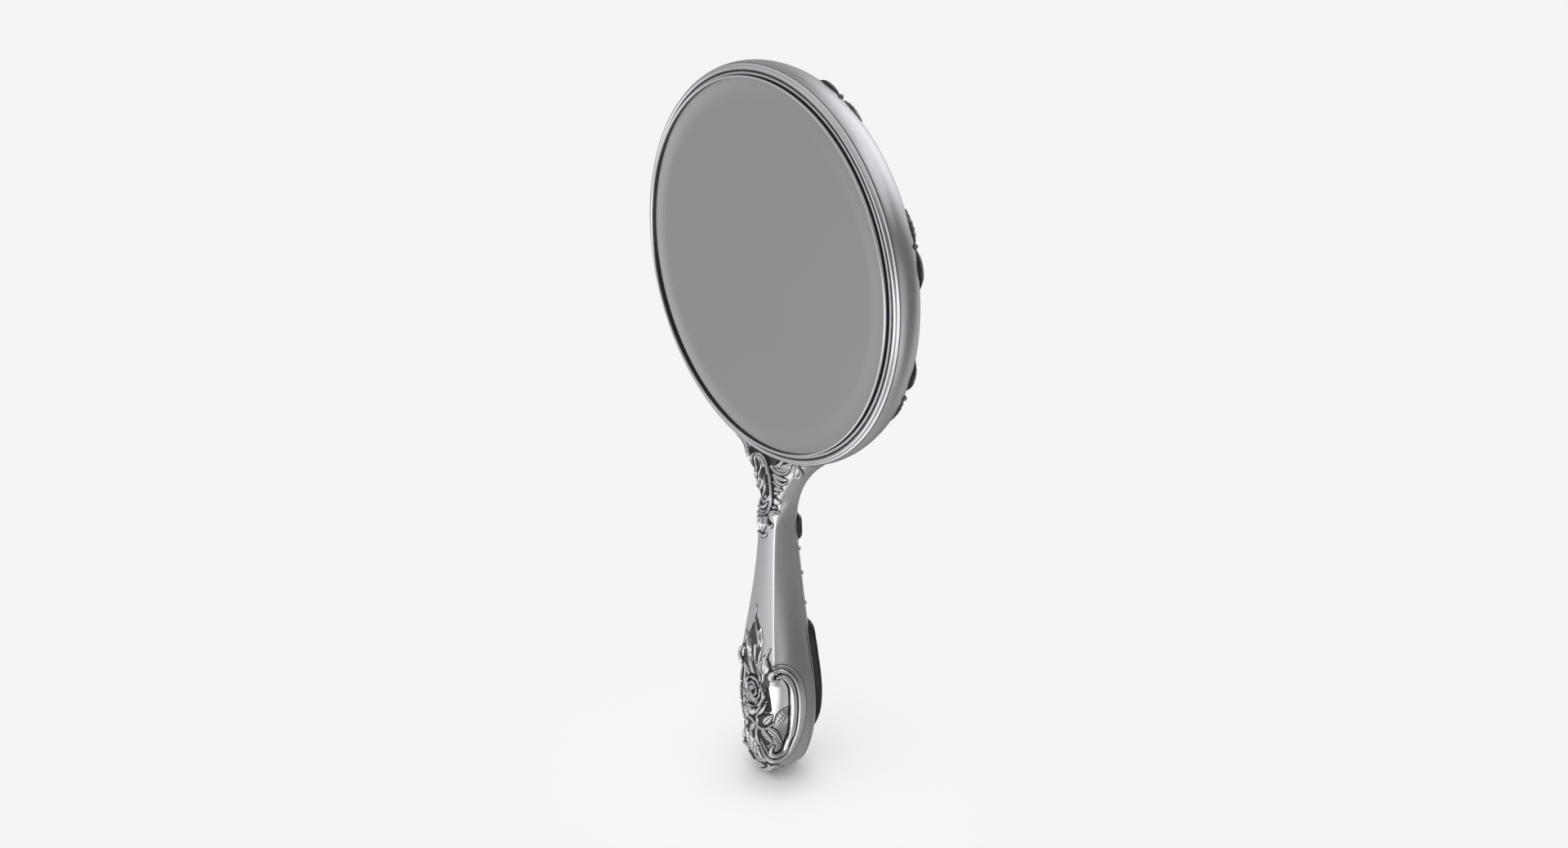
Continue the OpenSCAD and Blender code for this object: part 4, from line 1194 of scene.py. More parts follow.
GRIP_FRONT = """
piece buds
ground -1.6 -132, -3 -140, -4 -147, -4.5 -152.4 | 1.6 4.4 5.6 6.2 | 0.05 0.72
ground -8.4 -143, -9 -149, -8.6 -156, -8.4 -163 | 1.6 2.2 2.2 2.0 | 0.05 0.72
ground 4.6 -142, 4.8 -147, 4 -152.6 | 1.4 1.5 1.3 | 0.03 0.7
piece rose
ground 4.0 -154, 4.4 -158.4, 5.6 -161.6 | 1.2 1.6 1.2 | 0.04 0.85
piece leafage
ground -7 -166, -3 -169, 2 -167.4, 5.5 -165 | 3.0 3.2 2.6 1.6 | 0.05 0.8
ground -8 -172, -4 -174, 1 -174, 4.5 -174.6 | 2.6 3.4 3.0 1.8 | 0.05 0.8
piece tip
ground -6.6 -176.6, -4 -179.6, 1 -181, 6.6 -181.8 | 1.8 3.6 4.2 2.6 | 0.05 0.75
ground -3.6 -184.6, 0.6 -185.4, 3.4 -184.8 | 2.0 2.6 1.4 | 0.05 0.75
# Long leaves rising up the grip.
piece buds
lip_left -0.3 -121.6, -1.5 -124.4, -2.1 -127.2, -2.0 -129.6, -1.5 -132.0, -0.8 -134.4,
  -0.4 -136.8, -0.6 -139.0
  | 0.06 0.3 0.5 0.75 1.0 1.2 1.15 0.5 | 0.3 0.7 0.9 1.1 1.25 1.3 1.2 0.8
lip_right 2.3 -130.2, 1.1 -132.0, 0.8 -134.2, 1.2 -136.4, 1.4 -138.4
  | 0.06 0.4 0.75 0.85 0.35 | 0.3 0.8 1.1 1.1 0.7
lip_left -5.6 -135.4, -6.3 -137.8, -6.1 -140.4, -5.2 -143.0, -3.6 -146.0
  | 0.06 0.45 0.7 0.6 0.3 | 0.3 0.8 1.05 1.0 0.7
dome -1.9 -139.0, -2.2 -142, -2.0 -145, -0.8 -147.6, 0.4 -150.4, 0.9 -152.8
  | 0.45 0.4 0.42 0.42 0.45 0.4 | 1.0 0.95 0.95 0.95 0.95 0.9
dome 2.3 -138.6, 1.0 -141.4, 0.2 -144.4, -0.4 -147.2 | 0.1 0.42 0.5 0.2 | 0.4 0.8 0.8 0.5
# Bud on its own stem, with a long tendril.
dome 6.9 -137.2, 5.5 -139.0, 4.4 -141.2, 3.7 -143.4 | 0.2 0.38 0.45 0.5 | 0.6 0.95 1.1 1.2
dome 3.9 -141.8, 4.4 -144.2, 4.1 -146.8, 2.8 -148.9 | 0.25 1.2 1.45 0.4 | 0.7 1.35 1.5 0.9
lip_right 3.5 -141.8, 2.0 -144.4, 1.2 -147.0, 2.3 -149.2 | 0.2 0.75 0.85 0.35 | 0.6 1.15 1.25 0.8
ridge 3.6 -143.0, 3.4 -145.4, 2.8 -148.0 | 0.1 0.4 0.2 | 0.8 1.65 1.1 | moat=0.16
dome 2.5 -149.0, 2.6 -150.6, 2.0 -152.4, 1.0 -154.0 | 0.5 0.45 0.4 0.35 | 1.0 0.95 0.9 0.8
# Leaves on the left, crossing over one another.
leaf -6.0 -144.4, -7.5 -135.0 | 1.15 1.1 -0.4 5 0.16
leaf -3.6 -151.0, -5.9 -142.6 | 1.15 1.2 0.5 4 0.1
dome -4.9 -137.6, -4.6 -141, -4.9 -144.4, -4.1 -147.4, -2.6 -150.6
  | 0.1 0.4 0.45 0.45 0.3 | 0.4 0.85 0.9 0.9 0.7
leaf -8.6 -152.6, -10.6 -143.4 | 1.3 1.0 0.4 4 0.1
leaf -5.4 -152.4, -8.9 -148.6 | 1.0 1.0 0.3 3 0.1
dome -9.6 -161, -10.4 -157.4, -9.6 -154 | 0.3 0.8 0.3 | 0.5 0.8 0.5
# A folded leaf margin runs down the left edge.
piece leafage
lip_right -7.4 -142.2, -8.6 -143.2, -9.2 -146.4, -9.8 -149.4, -10.0 -153, -10.0 -158.6,
  -9.9 -165.4, -9.4 -171.4, -8.2 -176.8
  | 0.5 1.0 1.3 1.6 1.8 1.8 1.7 1.4 0.5 | 0.9 1.2 1.6 2.3 2.8 2.9 2.7 2.1 1.0 | placed=1
# Rose: bowed outer petals first, then the flower over them.
piece rose
lip_left 2.4 -152.9, 3.2 -155.2, 2.9 -158.4, 1.5 -161.8 | 0.2 0.55 0.6 0.2 | 0.8 1.2 1.2 0.7
lip_right -8.2 -160.6, -8.7 -162.2, -7.2 -163.5, -5.3 -163.3
  | 0.5 0.85 0.85 0.4 | 1.0 1.3 1.3 0.9
lip_right -8.9 -157.2, -9.3 -159, -8.2 -160.8, -6.2 -161.0
  | 0.4 0.75 0.8 0.4 | 1.0 1.35 1.35 1.0
leaf -2.2 -168.3, 5.1 -158.6 | 1.75 1.45 0.45 3 0 | widest=0.45
pillow -1.6 -167.6, 1.8 -164.2, 4.3 -160.2 | 0.3 0.75 0.25 | 1.2 1.7 1.2
lip_left 0.2 -153.6, 1.1 -155.8, 0.8 -158.6, -0.8 -161.6, -3.0 -164.0
  | 0.6 1.25 1.75 1.7 0.6 | 1.3 1.6 1.7 1.6 1.0
rose -3.9 -157.3 | 4.2 1.6 28 0.98 | small=1
lip_left -7.7 -158.6, -7.5 -156.0, -5.8 -153.9, -3.2 -153.0, -0.8 -153.4, 0.6 -154.6
  | 0.35 0.6 0.65 0.65 0.6 0.3 | 1.2 1.6 1.7 1.7 1.6 1.2
# Calyx.
dome -6.9 -165.4, -5.6 -166.6, -3.9 -166.8, -2.8 -165.8
  | 1.0 2.0 1.9 0.9 | 1.1 1.7 1.7 1.2 | moat=0.35
dome -7.4 -164.6, -5.6 -164.8, -3.2 -164.4 | 0.2 0.45 0.2 | 1.2 1.7 1.3 | moat=0.2
# Stems and veined leaves under the rose.
piece leafage
dome -1.4 -167.4, -0.9 -169.4, -1.3 -171.2 | 0.4 0.45 0.45 | 0.8 0.9 0.9
dome -10.4 -171.0, -8.4 -170.5, -5 -170.0, -2.2 -170.9, 0.6 -171.6, 3.4 -170.8, 5.4 -169.6
  | 0.3 0.5 0.55 0.5 0.5 0.5 0.35 | 0.7 1.0 1.05 1.0 1.0 1.0 0.9
dome -1.0 -171.8, -1.7 -174.2, -1.4 -176.4, 0.2 -178.6 | 0.35 0.45 0.45 0.25 | 0.9 1.0 0.95 0.7
dome 4.4 -170.2, 7.0 -167.8, 9.4 -165.6, 11.6 -164.6 | 0.3 0.32 0.3 0.3 | 0.8 0.8 0.75 0.7
leaf 3.0 -168.9, 8.6 -162.6 | 1.7 1.15 0.25 6 0.26
leaf 5.2 -169.8, 14.0 -171.9 | 1.75 1.2 0.6 7 0.18
leaf 1.6 -171.9, 8.4 -174.3 | 1.45 1.15 -0.3 6 0.26
leaf -6.4 -170.2, -11.2 -164.4 | 1.5 1.05 -0.2 6 0.26
leaf -7.2 -171.4, -10.4 -177.6 | 1.35 1.05 0.2 5 0.24
leaf -3.0 -171.6, -5.6 -175.8 | 1.2 0.95 -0.2 4 0.2
# Bud lobes at the tip.
piece tip
lip_left 1.0 -176.2, 3.0 -178.6, 5.6 -180.6, 8.2 -181.2 | 0.35 0.7 0.75 0.3 | 0.8 1.2 1.2 0.7
dome 0.8 -178.4, 2.8 -181.0, 5.4 -182.6, 7.6 -182.7 | 0.3 0.6 0.65 0.3 | 0.7 1.1 1.1 0.6
leaf -7.2 -174.8, -5.9 -181.9 | 1.2 1.1 -0.3 4 0.1
grooved -4.7 -175.4, -4.3 -178.4, -4.3 -181.4, -3.7 -183.2 | 0.4 1.15 1.1 0.4 | 0.9 1.4 1.3 0.8
dome -2.5 -177.0, -1.9 -179.6, -2.4 -182.6, -2.0 -184.4 | 0.3 0.8 0.75 0.3 | 0.8 1.15 1.1 0.7
lip_right -2.4 -183.9, -0.4 -184.7, 1.8 -184.2, 3.8 -183.6 | 0.4 0.8 0.8 0.3 | 0.8 1.1 1.1 0.6
dome -0.8 -179.8, -0.2 -182, 1.4 -183.2 | 0.3 0.65 0.3 | 0.7 1.05 0.7
lip_right -2.4 -186.2, 0.2 -187.0, 2.8 -186.2 | 0.4 0.8 0.3 | 0.7 1.0 0.6
"""

# The ribs of the side scroll, inside its outer slope. U is Y here.
SIDE_SCROLL = """
dome -3.9 -146.6, -1.8 -145.7, 0.8 -146.3, 3.8 -148.6, 6.4 -152.0, 8.2 -156.4, 9.0 -161.4,
  8.9 -166.6, 7.9 -172.2, 5.8 -177.0, 2.6 -180.7, -0.8 -181.6, -4.2 -180.6, -6.4 -178.2
  | 0.5 0.8 0.85 0.9 0.95 0.95 0.95 0.9 0.85 0.75 0.6 0.35
  | 1.0 1.35 1.4 1.4 1.4 1.4 1.4 1.35 1.3 1.1 | moat=0.22
rolled -1.2 -148.4, 0.6 -148.2, 2.4 -149.6, 4.2 -152.4, 5.5 -156.4, 6.1 -161.0, 6.0 -166.0,
  5.2 -171.2, 3.5 -176.0, 0.8 -179.5, -2.2 -179.7, -4.4 -177.9, -4.3 -175.9, -3.2 -175.2
  | 0.6 0.85 1.0 1.15 1.3 1.4 1.4 1.35 1.2 1.0 0.85 0.7 0.5
  | 1.0 1.5 1.7 1.8 1.85 1.9 1.9 1.85 1.7 1.5 1.3 1.0 | moat=0.34
dome -0.4 -149.6, -1.8 -148.9, -3.2 -148.9, -4.7 -147.6, -4.4 -146.0, -2.6 -145.2
  | 0.3 0.5 0.8 1.1 1.0 0.5 | 1.0 1.1 1.4 1.6 1.5 1.2 | moat=0.25
# Small second scroll under the big one.
lip_right -4.2 -183.4, -1.6 -184.0, 1.4 -185.8, 3.6 -187.0 | 0.3 0.75 0.75 0.2 | 0.7 1.1 1.0 0.4
dome -3.4 -184.9, -1.2 -185.9, 0.6 -187.2 | 0.25 0.6 0.25 | 0.6 0.9 0.5
"""

# One half of the grip's back.
BACK_PAIR = """
piece scrolls
handle_band 2.8 -136.8, 2.6 -134.4, 4.2 -132.8, 6.2 -134.6, 7.4 -139.4, 8.1 -146, 8.5 -154,
  8.3 -162, 7.5 -169, 5.8 -173.6, 3.9 -174.0, 3.0 -172.0, 4.0 -170.6
  | 0.6 1.0 1.5 1.8 1.95 2.0 2.0 2.0 1.9 1.6 1.25 0.9 0.4
  | 1.2 1.7 2.1 2.4 2.5 2.55 2.55 2.5 2.4 2.1 1.8 1.5 1.0
dome 4.0 -137.4, 5.0 -139.6, 5.5 -146, 5.7 -154, 5.6 -161, 5.0 -167, 4.2 -169
  | 0.2 0.45 0.5 0.5 0.5 0.45 0.2 | 0.8 1.3 1.4 1.4 1.4 1.2 0.7
piece rose
leaf 2.2 -155.4, 5.2 -162.4 | 1.5 1.4 0.3 5 0.2
leaf 2.4 -148.6, 5.0 -142.0 | 1.5 1.4 -0.3 5 0.2
leaf 1.6 -175.6, 5.2 -180.6 | 1.3 1.3 -0.3 4 0.15
"""
BACK_GROUND = """
piece rose
ground 0 -146, 0 -152, 0 -160 | 4.6 6 4.4 | 0.05 0.55
ground 0 -166, 0 -172, 0 -180, 0 -184.6 | 3.6 4.6 4.2 1.6 | 0.05 0.6
"""
BACK_ROSE = """
dome 0 -157, 0.4 -161, -0.2 -166, 0 -172 | 0.45 0.5 0.5 0.45 | 1.1 1.1 1.1 1.1
leaf 0 -146.6, 0 -138.2 | 1.6 1.5 0 5 0.18
rose 0 -152 | 4.7 1.9 14
dome 0 -172.4, 0 -176, 0 -179.4 | 1.3 2.4 0.7 | 1.5 2.1 1.4
"""
BACK_BUD_PETAL = "lip_left 0.2 -172.6, 2.0 -175.4, 0.9 -179.6 | 0.4 0.8 0.3 | 1.4 2.0 1.3"
# The lowest bud, then the climbing stem.
BACK_STEM = """
dome 0 -181.2, 0 -184, 0 -186 | 0.5 1.2 0.5 | 1.0 1.5 0.9
piece vine
dome 0 -133.6, 1.0 -128, -0.9 -122, 0.9 -116, -0.7 -110.4, 0.2 -105, 0 -101.6
  | 0.5 0.55 0.55 0.5 0.5 0.45 0.3 | 1.1 1.2 1.2 1.2 1.1 1.0 0.8
"""
# Side, base height, tip height and half width of the stem's leaves.
VINE_LEAVES = [
    (1, -128.6, -123.4, 1.2), (-1, -123, -117.4, 1.2), (1, -117, -111.6, 1.15),
    (-1, -111, -106, 1.1), (-1, -131, -127.4, 1.1), (1, -106.4, -102.6, 1.0)]

# Crescents that hug the corners, and one half of the palm.
NECK_BACK_PAIR = """
piece crescents
dome 2.6 -89.6, 3.7 -91.6, 4.0 -95, 3.6 -98.6, 2.6 -101 | 0.3 0.85 1.0 0.85 0.25
  | 0.9 1.6 1.7 1.6 0.8
dome 0.9 -92, 1.8 -94.4, 1.5 -98 | 0.3 0.55 0.2 | 0.7 1.1 0.5
piece palm
leaf 2.0 -82.4, 12.8 -66.4 | 1.5 1.2 -0.6 7 0.16 | widest=0.5
leaf 1.6 -85.4, 8.2 -65.6 | 1.65 1.5 -0.5 7 0.16 | widest=0.6
leaf 0.9 -87.0, 4.2 -65.0 | 1.7 1.7 -0.4 8 0.16 | widest=0.6
"""
NECK_BACK_MIDDLE = """
leaf 0 -89.4, 0 -63.4 | 2.3 1.85 0 9 0.22 | widest=0.6
dome 0 -91.4, 0 -89 | 1.6 1.0 | 1.4 1.5
dome -3.0 -90.2, 0 -91.2, 3.0 -90.2 | 0.3 0.7 0.3 | 1.0 1.5 1.0
"""
# On the head U runs along the rim, V out from the centre.
HEAD_PALM_PAIR = """
leaf 9.5 70.5, 25.6 58.4 | 2.3 1.5 1.0 7 0.2 | widest=0.4
leaf 6.5 71.0, 15.6 54.2 | 2.3 1.6 0.9 7 0.2 | widest=0.42
leaf 3.0 71.6, 7.4 51.6 | 2.1 1.7 0.4 7 0.2 | widest=0.42
"""
HEAD_PAIR = """
piece leaves
leaf 24.6 59.6, 36.0 55.4 | 1.9 1.5 0.4 6 0.2
leaf 24.0 54.0, 35.6 48.2 | 1.9 1.5 0.5 6 0.2
leaf 21.6 48.6, 31.6 40.2 | 1.8 1.4 0.5 6 0.2
leaf 6.4 38.6, 13.8 34.6 | 1.6 1.4 0.4 5 0.2
leaf 3.4 38.4, 7.6 32.6 | 1.5 1.4 0.3 5 0.2
leaf 11.6 53.4, 18.0 49.8 | 1.3 1.2 0.3 4 0.2
dome 6.0 44.6, 9.4 47.4, 12.6 51.4 | 0.5 0.5 0.3 | 1.0 1.1 0.8
piece scrolls
head_band 10.4 47.2, 8.4 48.4, 7.4 51.4, 7.7 55.6, 9.6 59.4, 12.8 62.2, 16.6 62.9, 20.4 61.6,
  23.2 58.4, 24.2 54.4, 23.2 50.6, 20.6 48.2, 18.0 48.4, 17.6 50.2
  | 0.5 1.0 1.4 1.75 1.9 1.95 1.95 1.9 1.75 1.5 1.25 1.0 0.8 0.45
  | 0.9 1.4 1.7 1.9 1.95 1.95 1.95 1.95 1.9 1.8 1.6 1.5 1.3 0.9
dome 10.8 54.6, 12.6 57.6, 16.0 58.8, 19.4 57.2, 20.8 53.8
  | 0.2 0.5 0.55 0.5 0.2 | 0.7 1.1 1.2 1.1 0.7
ball 25.6 61.6 | 1.0 1.2
ball 5.6 60.4 | 0.9 1.1
"""


def clear_of_rim(points):
    return np.hypot(points[:, 0], points[:, 2]) > RIM_CLEAR_R


def below_head(points):
    return np.hypot(points[:, 0], points[:, 2]) > 66.4


def neck_front():
    art = Relief("scroll leaves husks", (-23, 23), (-99.5, -59), cell=0.105, drawn=("front", 0.3))
    art.draw(NECK_FRONT)
    art.finish()
    relief_piece("neck_scroll", "neck_scroll_front", art.sheet("scroll", ON_FRONT, clear_of_rim))
    relief_piece("neck_leaves", "neck_leaves_front", art.sheet("leaves", ON_FRONT, clear_of_rim))
    relief_piece("neck_husks", "neck_husks_front", art.sheet("husks", ON_FRONT))


def grip():
    art = Relief("buds rose leafage tip", (-17, 19), (-189.2, -111), cell=0.105,
                 drawn=("front", -3.0))
    art.draw(GRIP_FRONT)
    art.finish()
    relief_piece("grip_buds", "grip_buds_front", art.sheet("buds", ON_FRONT))
    relief_piece("grip_rose", "rose_front", art.sheet("rose", ON_FRONT))
    relief_piece("grip_tip_bud", "tip_bud", art.sheet("tip", ON_FRONT))
    front_leafage = art.sheet("leafage", ON_FRONT)

    art = Relief("scroll leafage", (-9.5, 15), (-189.4, -140.5), cell=0.105, drawn=("side", 9.0))
    art.draw("""
piece leafage
leaf -2.4 -166.8, 3.5 -161.4 | 2.15 1.2 -0.5 7 0.16 | widest=0.5
piece scroll
""")
    # A low outer slope, a middle rib and a bright rolled rib.
    art.stroke(C_OUTER,
               [0.8, 1.0, 1.2, 1.45, 1.6, 1.7, 1.7, 1.7, 1.6, 1.45, 1.25, 1.1, 0.9, 0.6],
               [0.7, 0.9, 0.95, 0.9, 0.85, 0.85, 0.85, 0.9, 0.9, 0.9, 0.9, 0.8], flank)
    art.draw(SIDE_SCROLL)
    art.finish()
    relief_piece("side_scroll_near", "side_scroll_right", art.sheet("scroll", ON_SIDE))
    relief_piece("side_scroll_far", "side_scroll_left", art.sheet("scroll", ON_SIDE, mirror=True))
    relief_piece("grip_foliage", "rose_foliage", front_leafage, art.sheet("leafage", ON_SIDE),
                 art.sheet("leafage", ON_SIDE, mirror=True))


def handle_back():
    art = Relief("scrolls rose vine", (-15, 15), (-189, -100), cell=0.13)
    art.draw(BACK_GROUND)
    for side in (-1, 1):
        art.draw(BACK_PAIR, side)
        # This pair bends the same way on both sides.
        art.leaf((side * 0.5, -167.2), (side * 4.0, -164.4), width=0.9, height=1.1, bend=0.2,
                 veins=3, notch=0.15)
    art.draw(BACK_ROSE)
    for side in (-1, 1):
        art.draw(BACK_BUD_PETAL, side)
    art.draw(BACK_STEM)
    for side, base_z, tip_z, width in VINE_LEAVES:
        edge = float(half_width(tip_z)) + 0.6
        art.leaf((side * 0.6, base_z), (side * edge, tip_z), width, height=1.25,
                 bend=0.4 * side, veins=5, notch=0.18)
    art.draw("leaf 0 -104.4, 0.2 -100.6 | 0.8 1.0 0 3 0.1")
    art.finish()
    # Painted shade: the back scrolls darken towards the handle's side edges, less on their highest
    # crests.
    half = half_width(art.v)
    edge = smooth_step(np.abs(art.u), half - 3.0, half - 1.6)
    art.darken("scrolls", 0.85 * edge * (1 - 0.75 * smooth_step(art.height, 2.15, 2.5)))
    relief_piece("back_scrolls", "handle_back_scrolls", art.sheet("scrolls", ON_BACK))
    relief_piece("back_rose", "handle_back_rose", art.sheet("rose", ON_BACK))
    vine = art.sheet("vine", ON_BACK)

    art = Relief("crescents palm", (-24, 24), (-104, -62), cell=0.13)
    for side in (-1, 1):
        art.draw(NECK_BACK_PAIR, side)
    art.draw(NECK_BACK_MIDDLE)
    art.finish()
    # Painted shade on the crescents, darker towards their outer flanks at the corners.
    art.darken("crescents", 0.8 * smooth_step(np.abs(art.u), 3.6, 4.6))
    relief_piece("back_vine", "handle_back_vine", vine, art.sheet("crescents", ON_BACK))
    low_palm = art.sheet("palm", ON_BACK, below_head)

    # The palm carries on over the head's back.
    art = Relief("palm", (-27, 27), (44, 74), cell=0.15)
    for side in (-1, 1):
        art.draw(HEAD_PALM_PAIR, side)
    art.draw("leaf 0 72.5, 0 47.6 | 2.5 1.8 0 9 0.22 | widest=0.4")
    art.finish()
    relief_piece("neck_acanthus", "neck_acanthus_back", low_palm,
                 art.sheet("palm", partial(on_head, turn=math.pi)))


def head_back():
    """One motif at three clock positions."""
    rose_v = 43.5
    art = Relief("scrolls leaves roses", (-38, 38), (31, 71.4), cell=0.19)
    art.draw("""
piece leaves
ground -12 40.5, -5 37.5, 5 37.5, 12 40.5 | 2.0 4.0 4.0 2.0 | 0.05 0.5
""")
    for side in (-1, 1):
        art.draw(HEAD_PAIR, side)
    art.draw("""
piece leaves
leaf 0 50.4, 0 60.8 | 1.8 1.5 0 6 0.2
""")
    for side in (-1, 1):
        art.draw("leaf 1.6 50.4, 4.6 56.4 | 1.2 1.3 -0.2 4 0.2", side)
    art.draw("piece roses")
    for k in range(5):
        angle = math.radians(36 + 72 * k)
        base, tip = [(r * math.cos(angle), rose_v + r * math.sin(angle)) for r in (4.4, 7.3)]
        art.leaf(base, tip, width=0.9, height=0.8, bend=0, veins=3, notch=0)
    art.rose((0, rose_v), radius=5.9, height=1.45, turn=40)
    art.finish()

    def drawn_in(u, v, height, turn):
        """Draws the part beyond the rose in towards the centre."""
        return on_head(u, v - 0.05 * np.clip(v - rose_v, 0, None), height, turn)

    # Painted shade on the outer flanks, darker towards the rim.
    for piece in ("scrolls", "leaves"):
        art.darken(piece, 0.6 * smooth_step(np.hypot(art.u, art.v), 62.8, 65.2))
    for piece in ("scrolls", "leaves", "roses"):
        relief_piece(f"head_{piece}", f"head_back_{piece}", *[
            art.sheet(piece, partial(drawn_in, turn=math.radians(turn)))
            for turn in (0.0, 94, -94)])


def medallion():
    """A low disc with a ring of pearls and a stepped edge."""
    segments, pearls = 720, 72
    top_y, bottom_y = 15.6, 13.4
    ring_r, pearl_r, pearl_height = 20.85, 0.84, 0.62
    r = np.concatenate([np.linspace(0.4, 19.4, 34), np.linspace(19.5, 23.0, 58)[:-4],
                        [22.9, 23.0, 23.0, 22.2]])
    y = top_y - 0.14 * smooth_step(r, 19.3, 19.7) * (1 - smooth_step(r, 22.0, 22.3))
    y = y - 0.5 * np.clip((r - 22.45) / 0.5, 0, 1) ** 2
    angle = np.linspace(0, 2 * np.pi, segments, endpoint=False)[:, None]
    phase = (angle * pearls / (2 * np.pi)) % 1.0 - 0.5
    distance = np.hypot(phase * 2 * np.pi * ring_r / pearls, r - ring_r)
    y = y + pearl_height * np.sqrt(np.clip(1 - (distance / pearl_r) ** 2, 0, 1))
    y[:, -3:] = (15.05, 14.4, bottom_y)
    between = (r > 19.4) & (r < 22.3) & (distance > pearl_r * 0.9)
    tarnish_and_shade = np.where(r > 22.9, 0.9, np.where(between, 0.95, 0.0))
    turned_piece("monogram_disc", r, y, DISC, "back_medallion", "silver_relief", tarnish_and_shade,
                 segments=segments, poles=(top_y, bottom_y), gap=len(r) - 1)


neck_front()
grip()
handle_back()
head_back()
medallion()

# --------------------------------------------------------------------------
# Light, floor and camera
# Soft boxes seen in the metal, in degrees. Azimuth 0 is straight out of the glass, 90 is +X.
# Each one is at full level inside the first angle and gone at the second.
LOBES = [
    # azimuth, height, full, gone, level
    (0, -90, 5, 78, 0.24), (180, 38, 10, 42, 0.72), (124, 48, 8, 28, 0.5),
    (-165, 10, 8, 44, 0.34), (0, 90, 8, 48, 0.36), (22, -19, 11, 24, 0.85),
    (44, -19, 11, 24, 0.85), (64, -19, 6, 22, 0.5), (98, -38, 4, 30, 0.36),
    (102, -9, 3, 34, 0.27), (0, -28, 26, 50, 0.36), (-12, -52, 6, 40, 0.5),
    (-10, 12, 8, 50, 0.42), (-58, -18, 22, 52, 0.28), (-62, 42, 10, 46, 0.36),
    (-125, 20, 8, 50, 0.16), (178, -25, 4, 30, 0.24),
]
BASE_LEVEL = 0.15  # reflected light between the soft boxes
FLAT_LEVEL = 0.86  # what diffuse surfaces receive
LIGHT_TINT = (1.0, 0.995, 1.01)
BACKGROUND = 0.921
FLOOR_WHITE = 0.985


def world():
    sky = bpy.data.worlds.new("studio")
    bpy.context.scene.world = sky
    sky.use_nodes = True
    graph = Graph(sky.node_tree)
    output = graph.node("ShaderNodeOutputWorld")
    background = graph.node("ShaderNodeBackground")
    direction = graph.coordinates("Generated")
    total = None
    for azimuth, height, full, gone, level in LOBES:
        azimuth, height = math.radians(azimuth), math.radians(height)
        centre = (math.sin(azimuth) * math.cos(height), -math.cos(azimuth) * math.cos(height),
                  math.sin(height))
        cosine = graph.vector_math("DOT_PRODUCT", direction, centre)
        angle = graph.math("ARCCOSINE", graph.math("MINIMUM", cosine, 1.0))
        lobe = graph.ramp(angle, math.radians(full), math.radians(gone), low=level, high=0.0)
        total = lobe if total is None else graph.math("ADD", total, lobe)
    total = graph.math("ADD", total, BASE_LEVEL)
    rays = graph.node("ShaderNodeLightPath").outputs
    flat = graph.node("ShaderNodeMix", data_type="FLOAT")
    graph.put(flat.inputs[0], rays["Is Diffuse Ray"])
    graph.put(flat.inputs[2], total)
    graph.put(flat.inputs[3], FLAT_LEVEL)
    color = graph.node("ShaderNodeCombineColor")
    for socket, tint in zip(color.inputs, LIGHT_TINT):
        graph.put(socket, graph.math("MULTIPLY", flat.outputs[0], tint))
    seen = graph.mix(rays["Is Camera Ray"], color.outputs[0],
                     (BACKGROUND, BACKGROUND, BACKGROUND * 1.003))
    graph.put(background.inputs["Color"], seen)
    graph.put(output.inputs[0], background.outputs[0])


def floor_material(floor_z):
    material = bpy.data.materials.new("pale_floor")
    material.use_nodes = True
    graph = Graph(material.node_tree)
    output = graph.node("ShaderNodeOutputMaterial")
    diffuse = graph.node("ShaderNodeBsdfDiffuse")
    # Painted contact shadow: a little darker right under the tip, where the handle meets the floor.
    near = graph.vector_math("DISTANCE", graph.coordinates(), (0.0085, -0.0005, floor_z))
    painted_contact_shadow = graph.ramp(near, start=0.0, end=0.02, low=0.78 * FLOOR_WHITE, high=FLOOR_WHITE,
                       kind="SMOOTHERSTEP")
    graph.put(diffuse.inputs["Color"], painted_contact_shadow)
    # The floor gives way to the plain background over about 0.1 m, with no edge.
    fade = graph.vector_math("DISTANCE", graph.coordinates(), (0, 0.005, floor_z))
    for operation, *number in (("DIVIDE", 0.062), ("POWER", 2.0), ("MULTIPLY", -1.0),
                               ("EXPONENT",), ("MULTIPLY", -0.97), ("ADD", 0.97)):
        fade = graph.math(operation, fade, *number)
    clear = graph.node("ShaderNodeBsdfTransparent")
    mix = graph.node("ShaderNodeMixShader")
    for socket, value in zip(mix.inputs, (fade, diffuse.outputs[0], clear.outputs[0])):
        graph.put(socket, value)
    graph.put(output.inputs[0], mix.outputs[0])
    return material


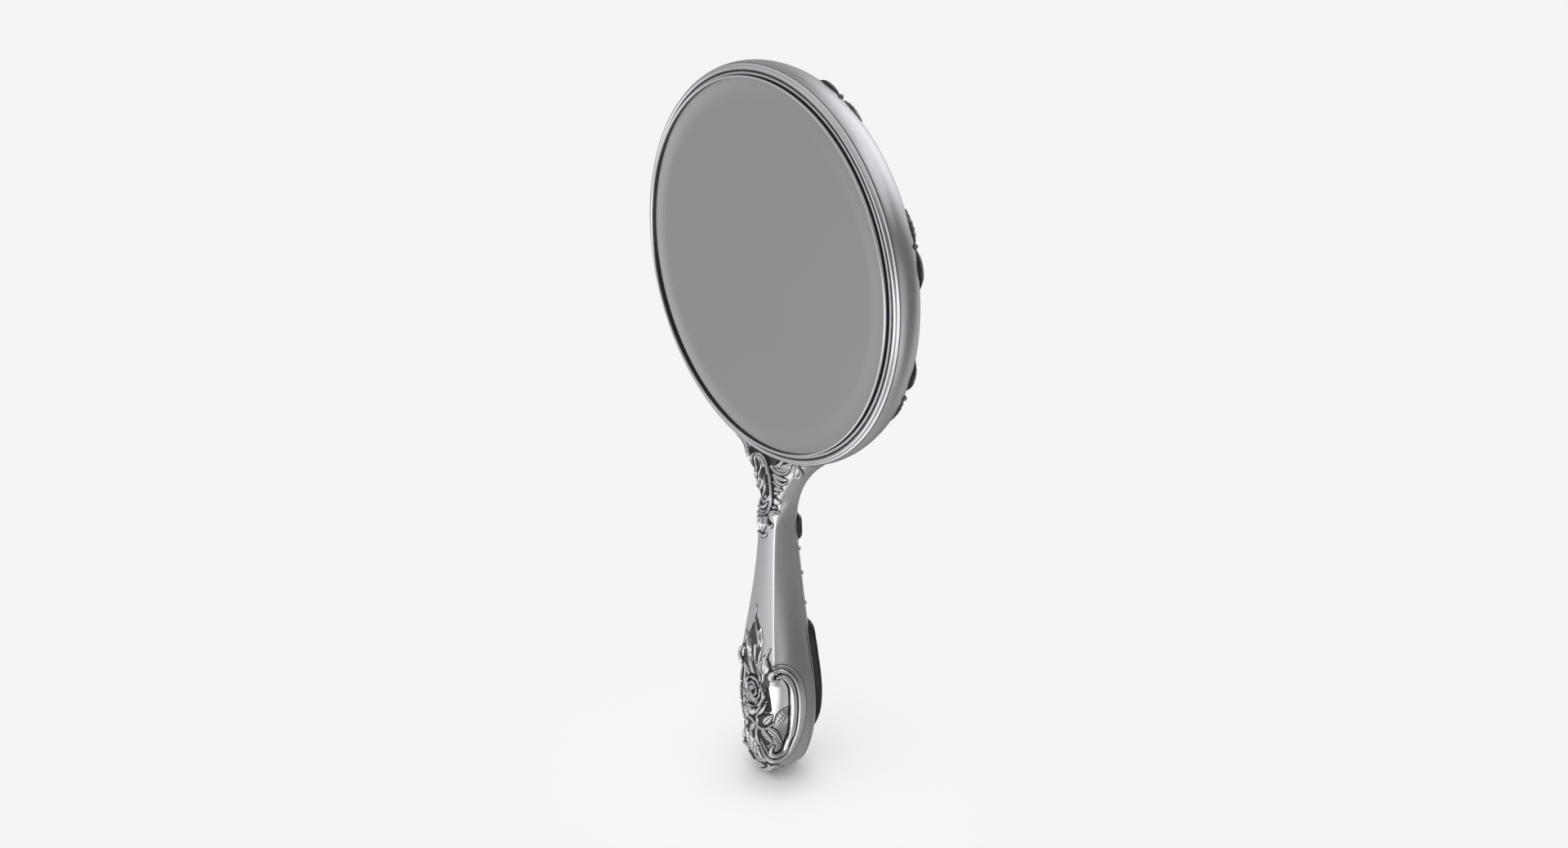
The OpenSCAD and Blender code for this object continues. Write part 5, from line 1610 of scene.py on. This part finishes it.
def floor():
    """A wide disc just under the handle's tip, in finer rings towards its centre."""
    floor_z = float(CAD_BOX[0][2]) - 0.0002
    spokes, rings, reach, centre_y = 96, 40, 2600, 5.0
    angles = np.linspace(0, 2 * np.pi, spokes, endpoint=False)
    radii = np.linspace(0.02, 1.0, rings) ** 1.6 * reach
    verts = [[0.0, centre_y, floor_z * 1000]]
    verts += [[r * math.cos(a), centre_y + r * math.sin(a), floor_z * 1000]
              for r in radii for a in angles]
    i = np.arange(spokes)
    fan = np.stack([np.zeros(spokes, int), 1 + i, 1 + (i + 1) % spokes], -1)
    quads = grid_faces(rings, spokes, False, True) + 1
    mesh = bpy.data.meshes.new("studio_floor")
    mesh.from_pydata((np.array(verts) * MM).tolist(), [], fan.tolist() + quads.tolist())
    mesh.update()
    disc = bpy.data.objects.new("studio_floor", mesh)
    bpy.context.scene.collection.objects.link(disc)
    mesh.materials.append(floor_material(floor_z))
    disc.visible_glossy = False


def overhead_light():
    light = bpy.data.lights.new("overhead_soft_light", "AREA")
    light.shape = "DISK"
    light.size = 0.7
    light.energy = 3.4
    lamp = bpy.data.objects.new("overhead_soft_light", light)
    lamp.location = (0.15, -0.15, 1.1)
    aim = mathutils.Vector((0, 0, -0.19)) - mathutils.Vector((0.15, -0.15, 1.1))
    lamp.rotation_euler = aim.to_track_quat("-Z", "Y").to_euler()
    lamp.visible_glossy = False
    bpy.context.scene.collection.objects.link(lamp)


def camera():
    lens = bpy.data.cameras.new("photo_camera")
    lens.sensor_width = 36
    lens.lens = 50
    lens.clip_start, lens.clip_end = 0.01, 20
    viewer = bpy.data.objects.new("photo_camera", lens)
    scene = bpy.context.scene
    scene.collection.objects.link(viewer)
    viewer.location = EYE * MM
    aim = mathutils.Vector(AIM) - viewer.location
    viewer.rotation_euler = aim.to_track_quat("-Z", "Y").to_euler()
    scene.camera = viewer
    scene.view_settings.view_transform = "Standard"
    scene.view_settings.look = "None"
    scene.view_settings.exposure = 0.0
    scene.view_settings.gamma = 1.0


world()
floor()
overhead_light()
camera()
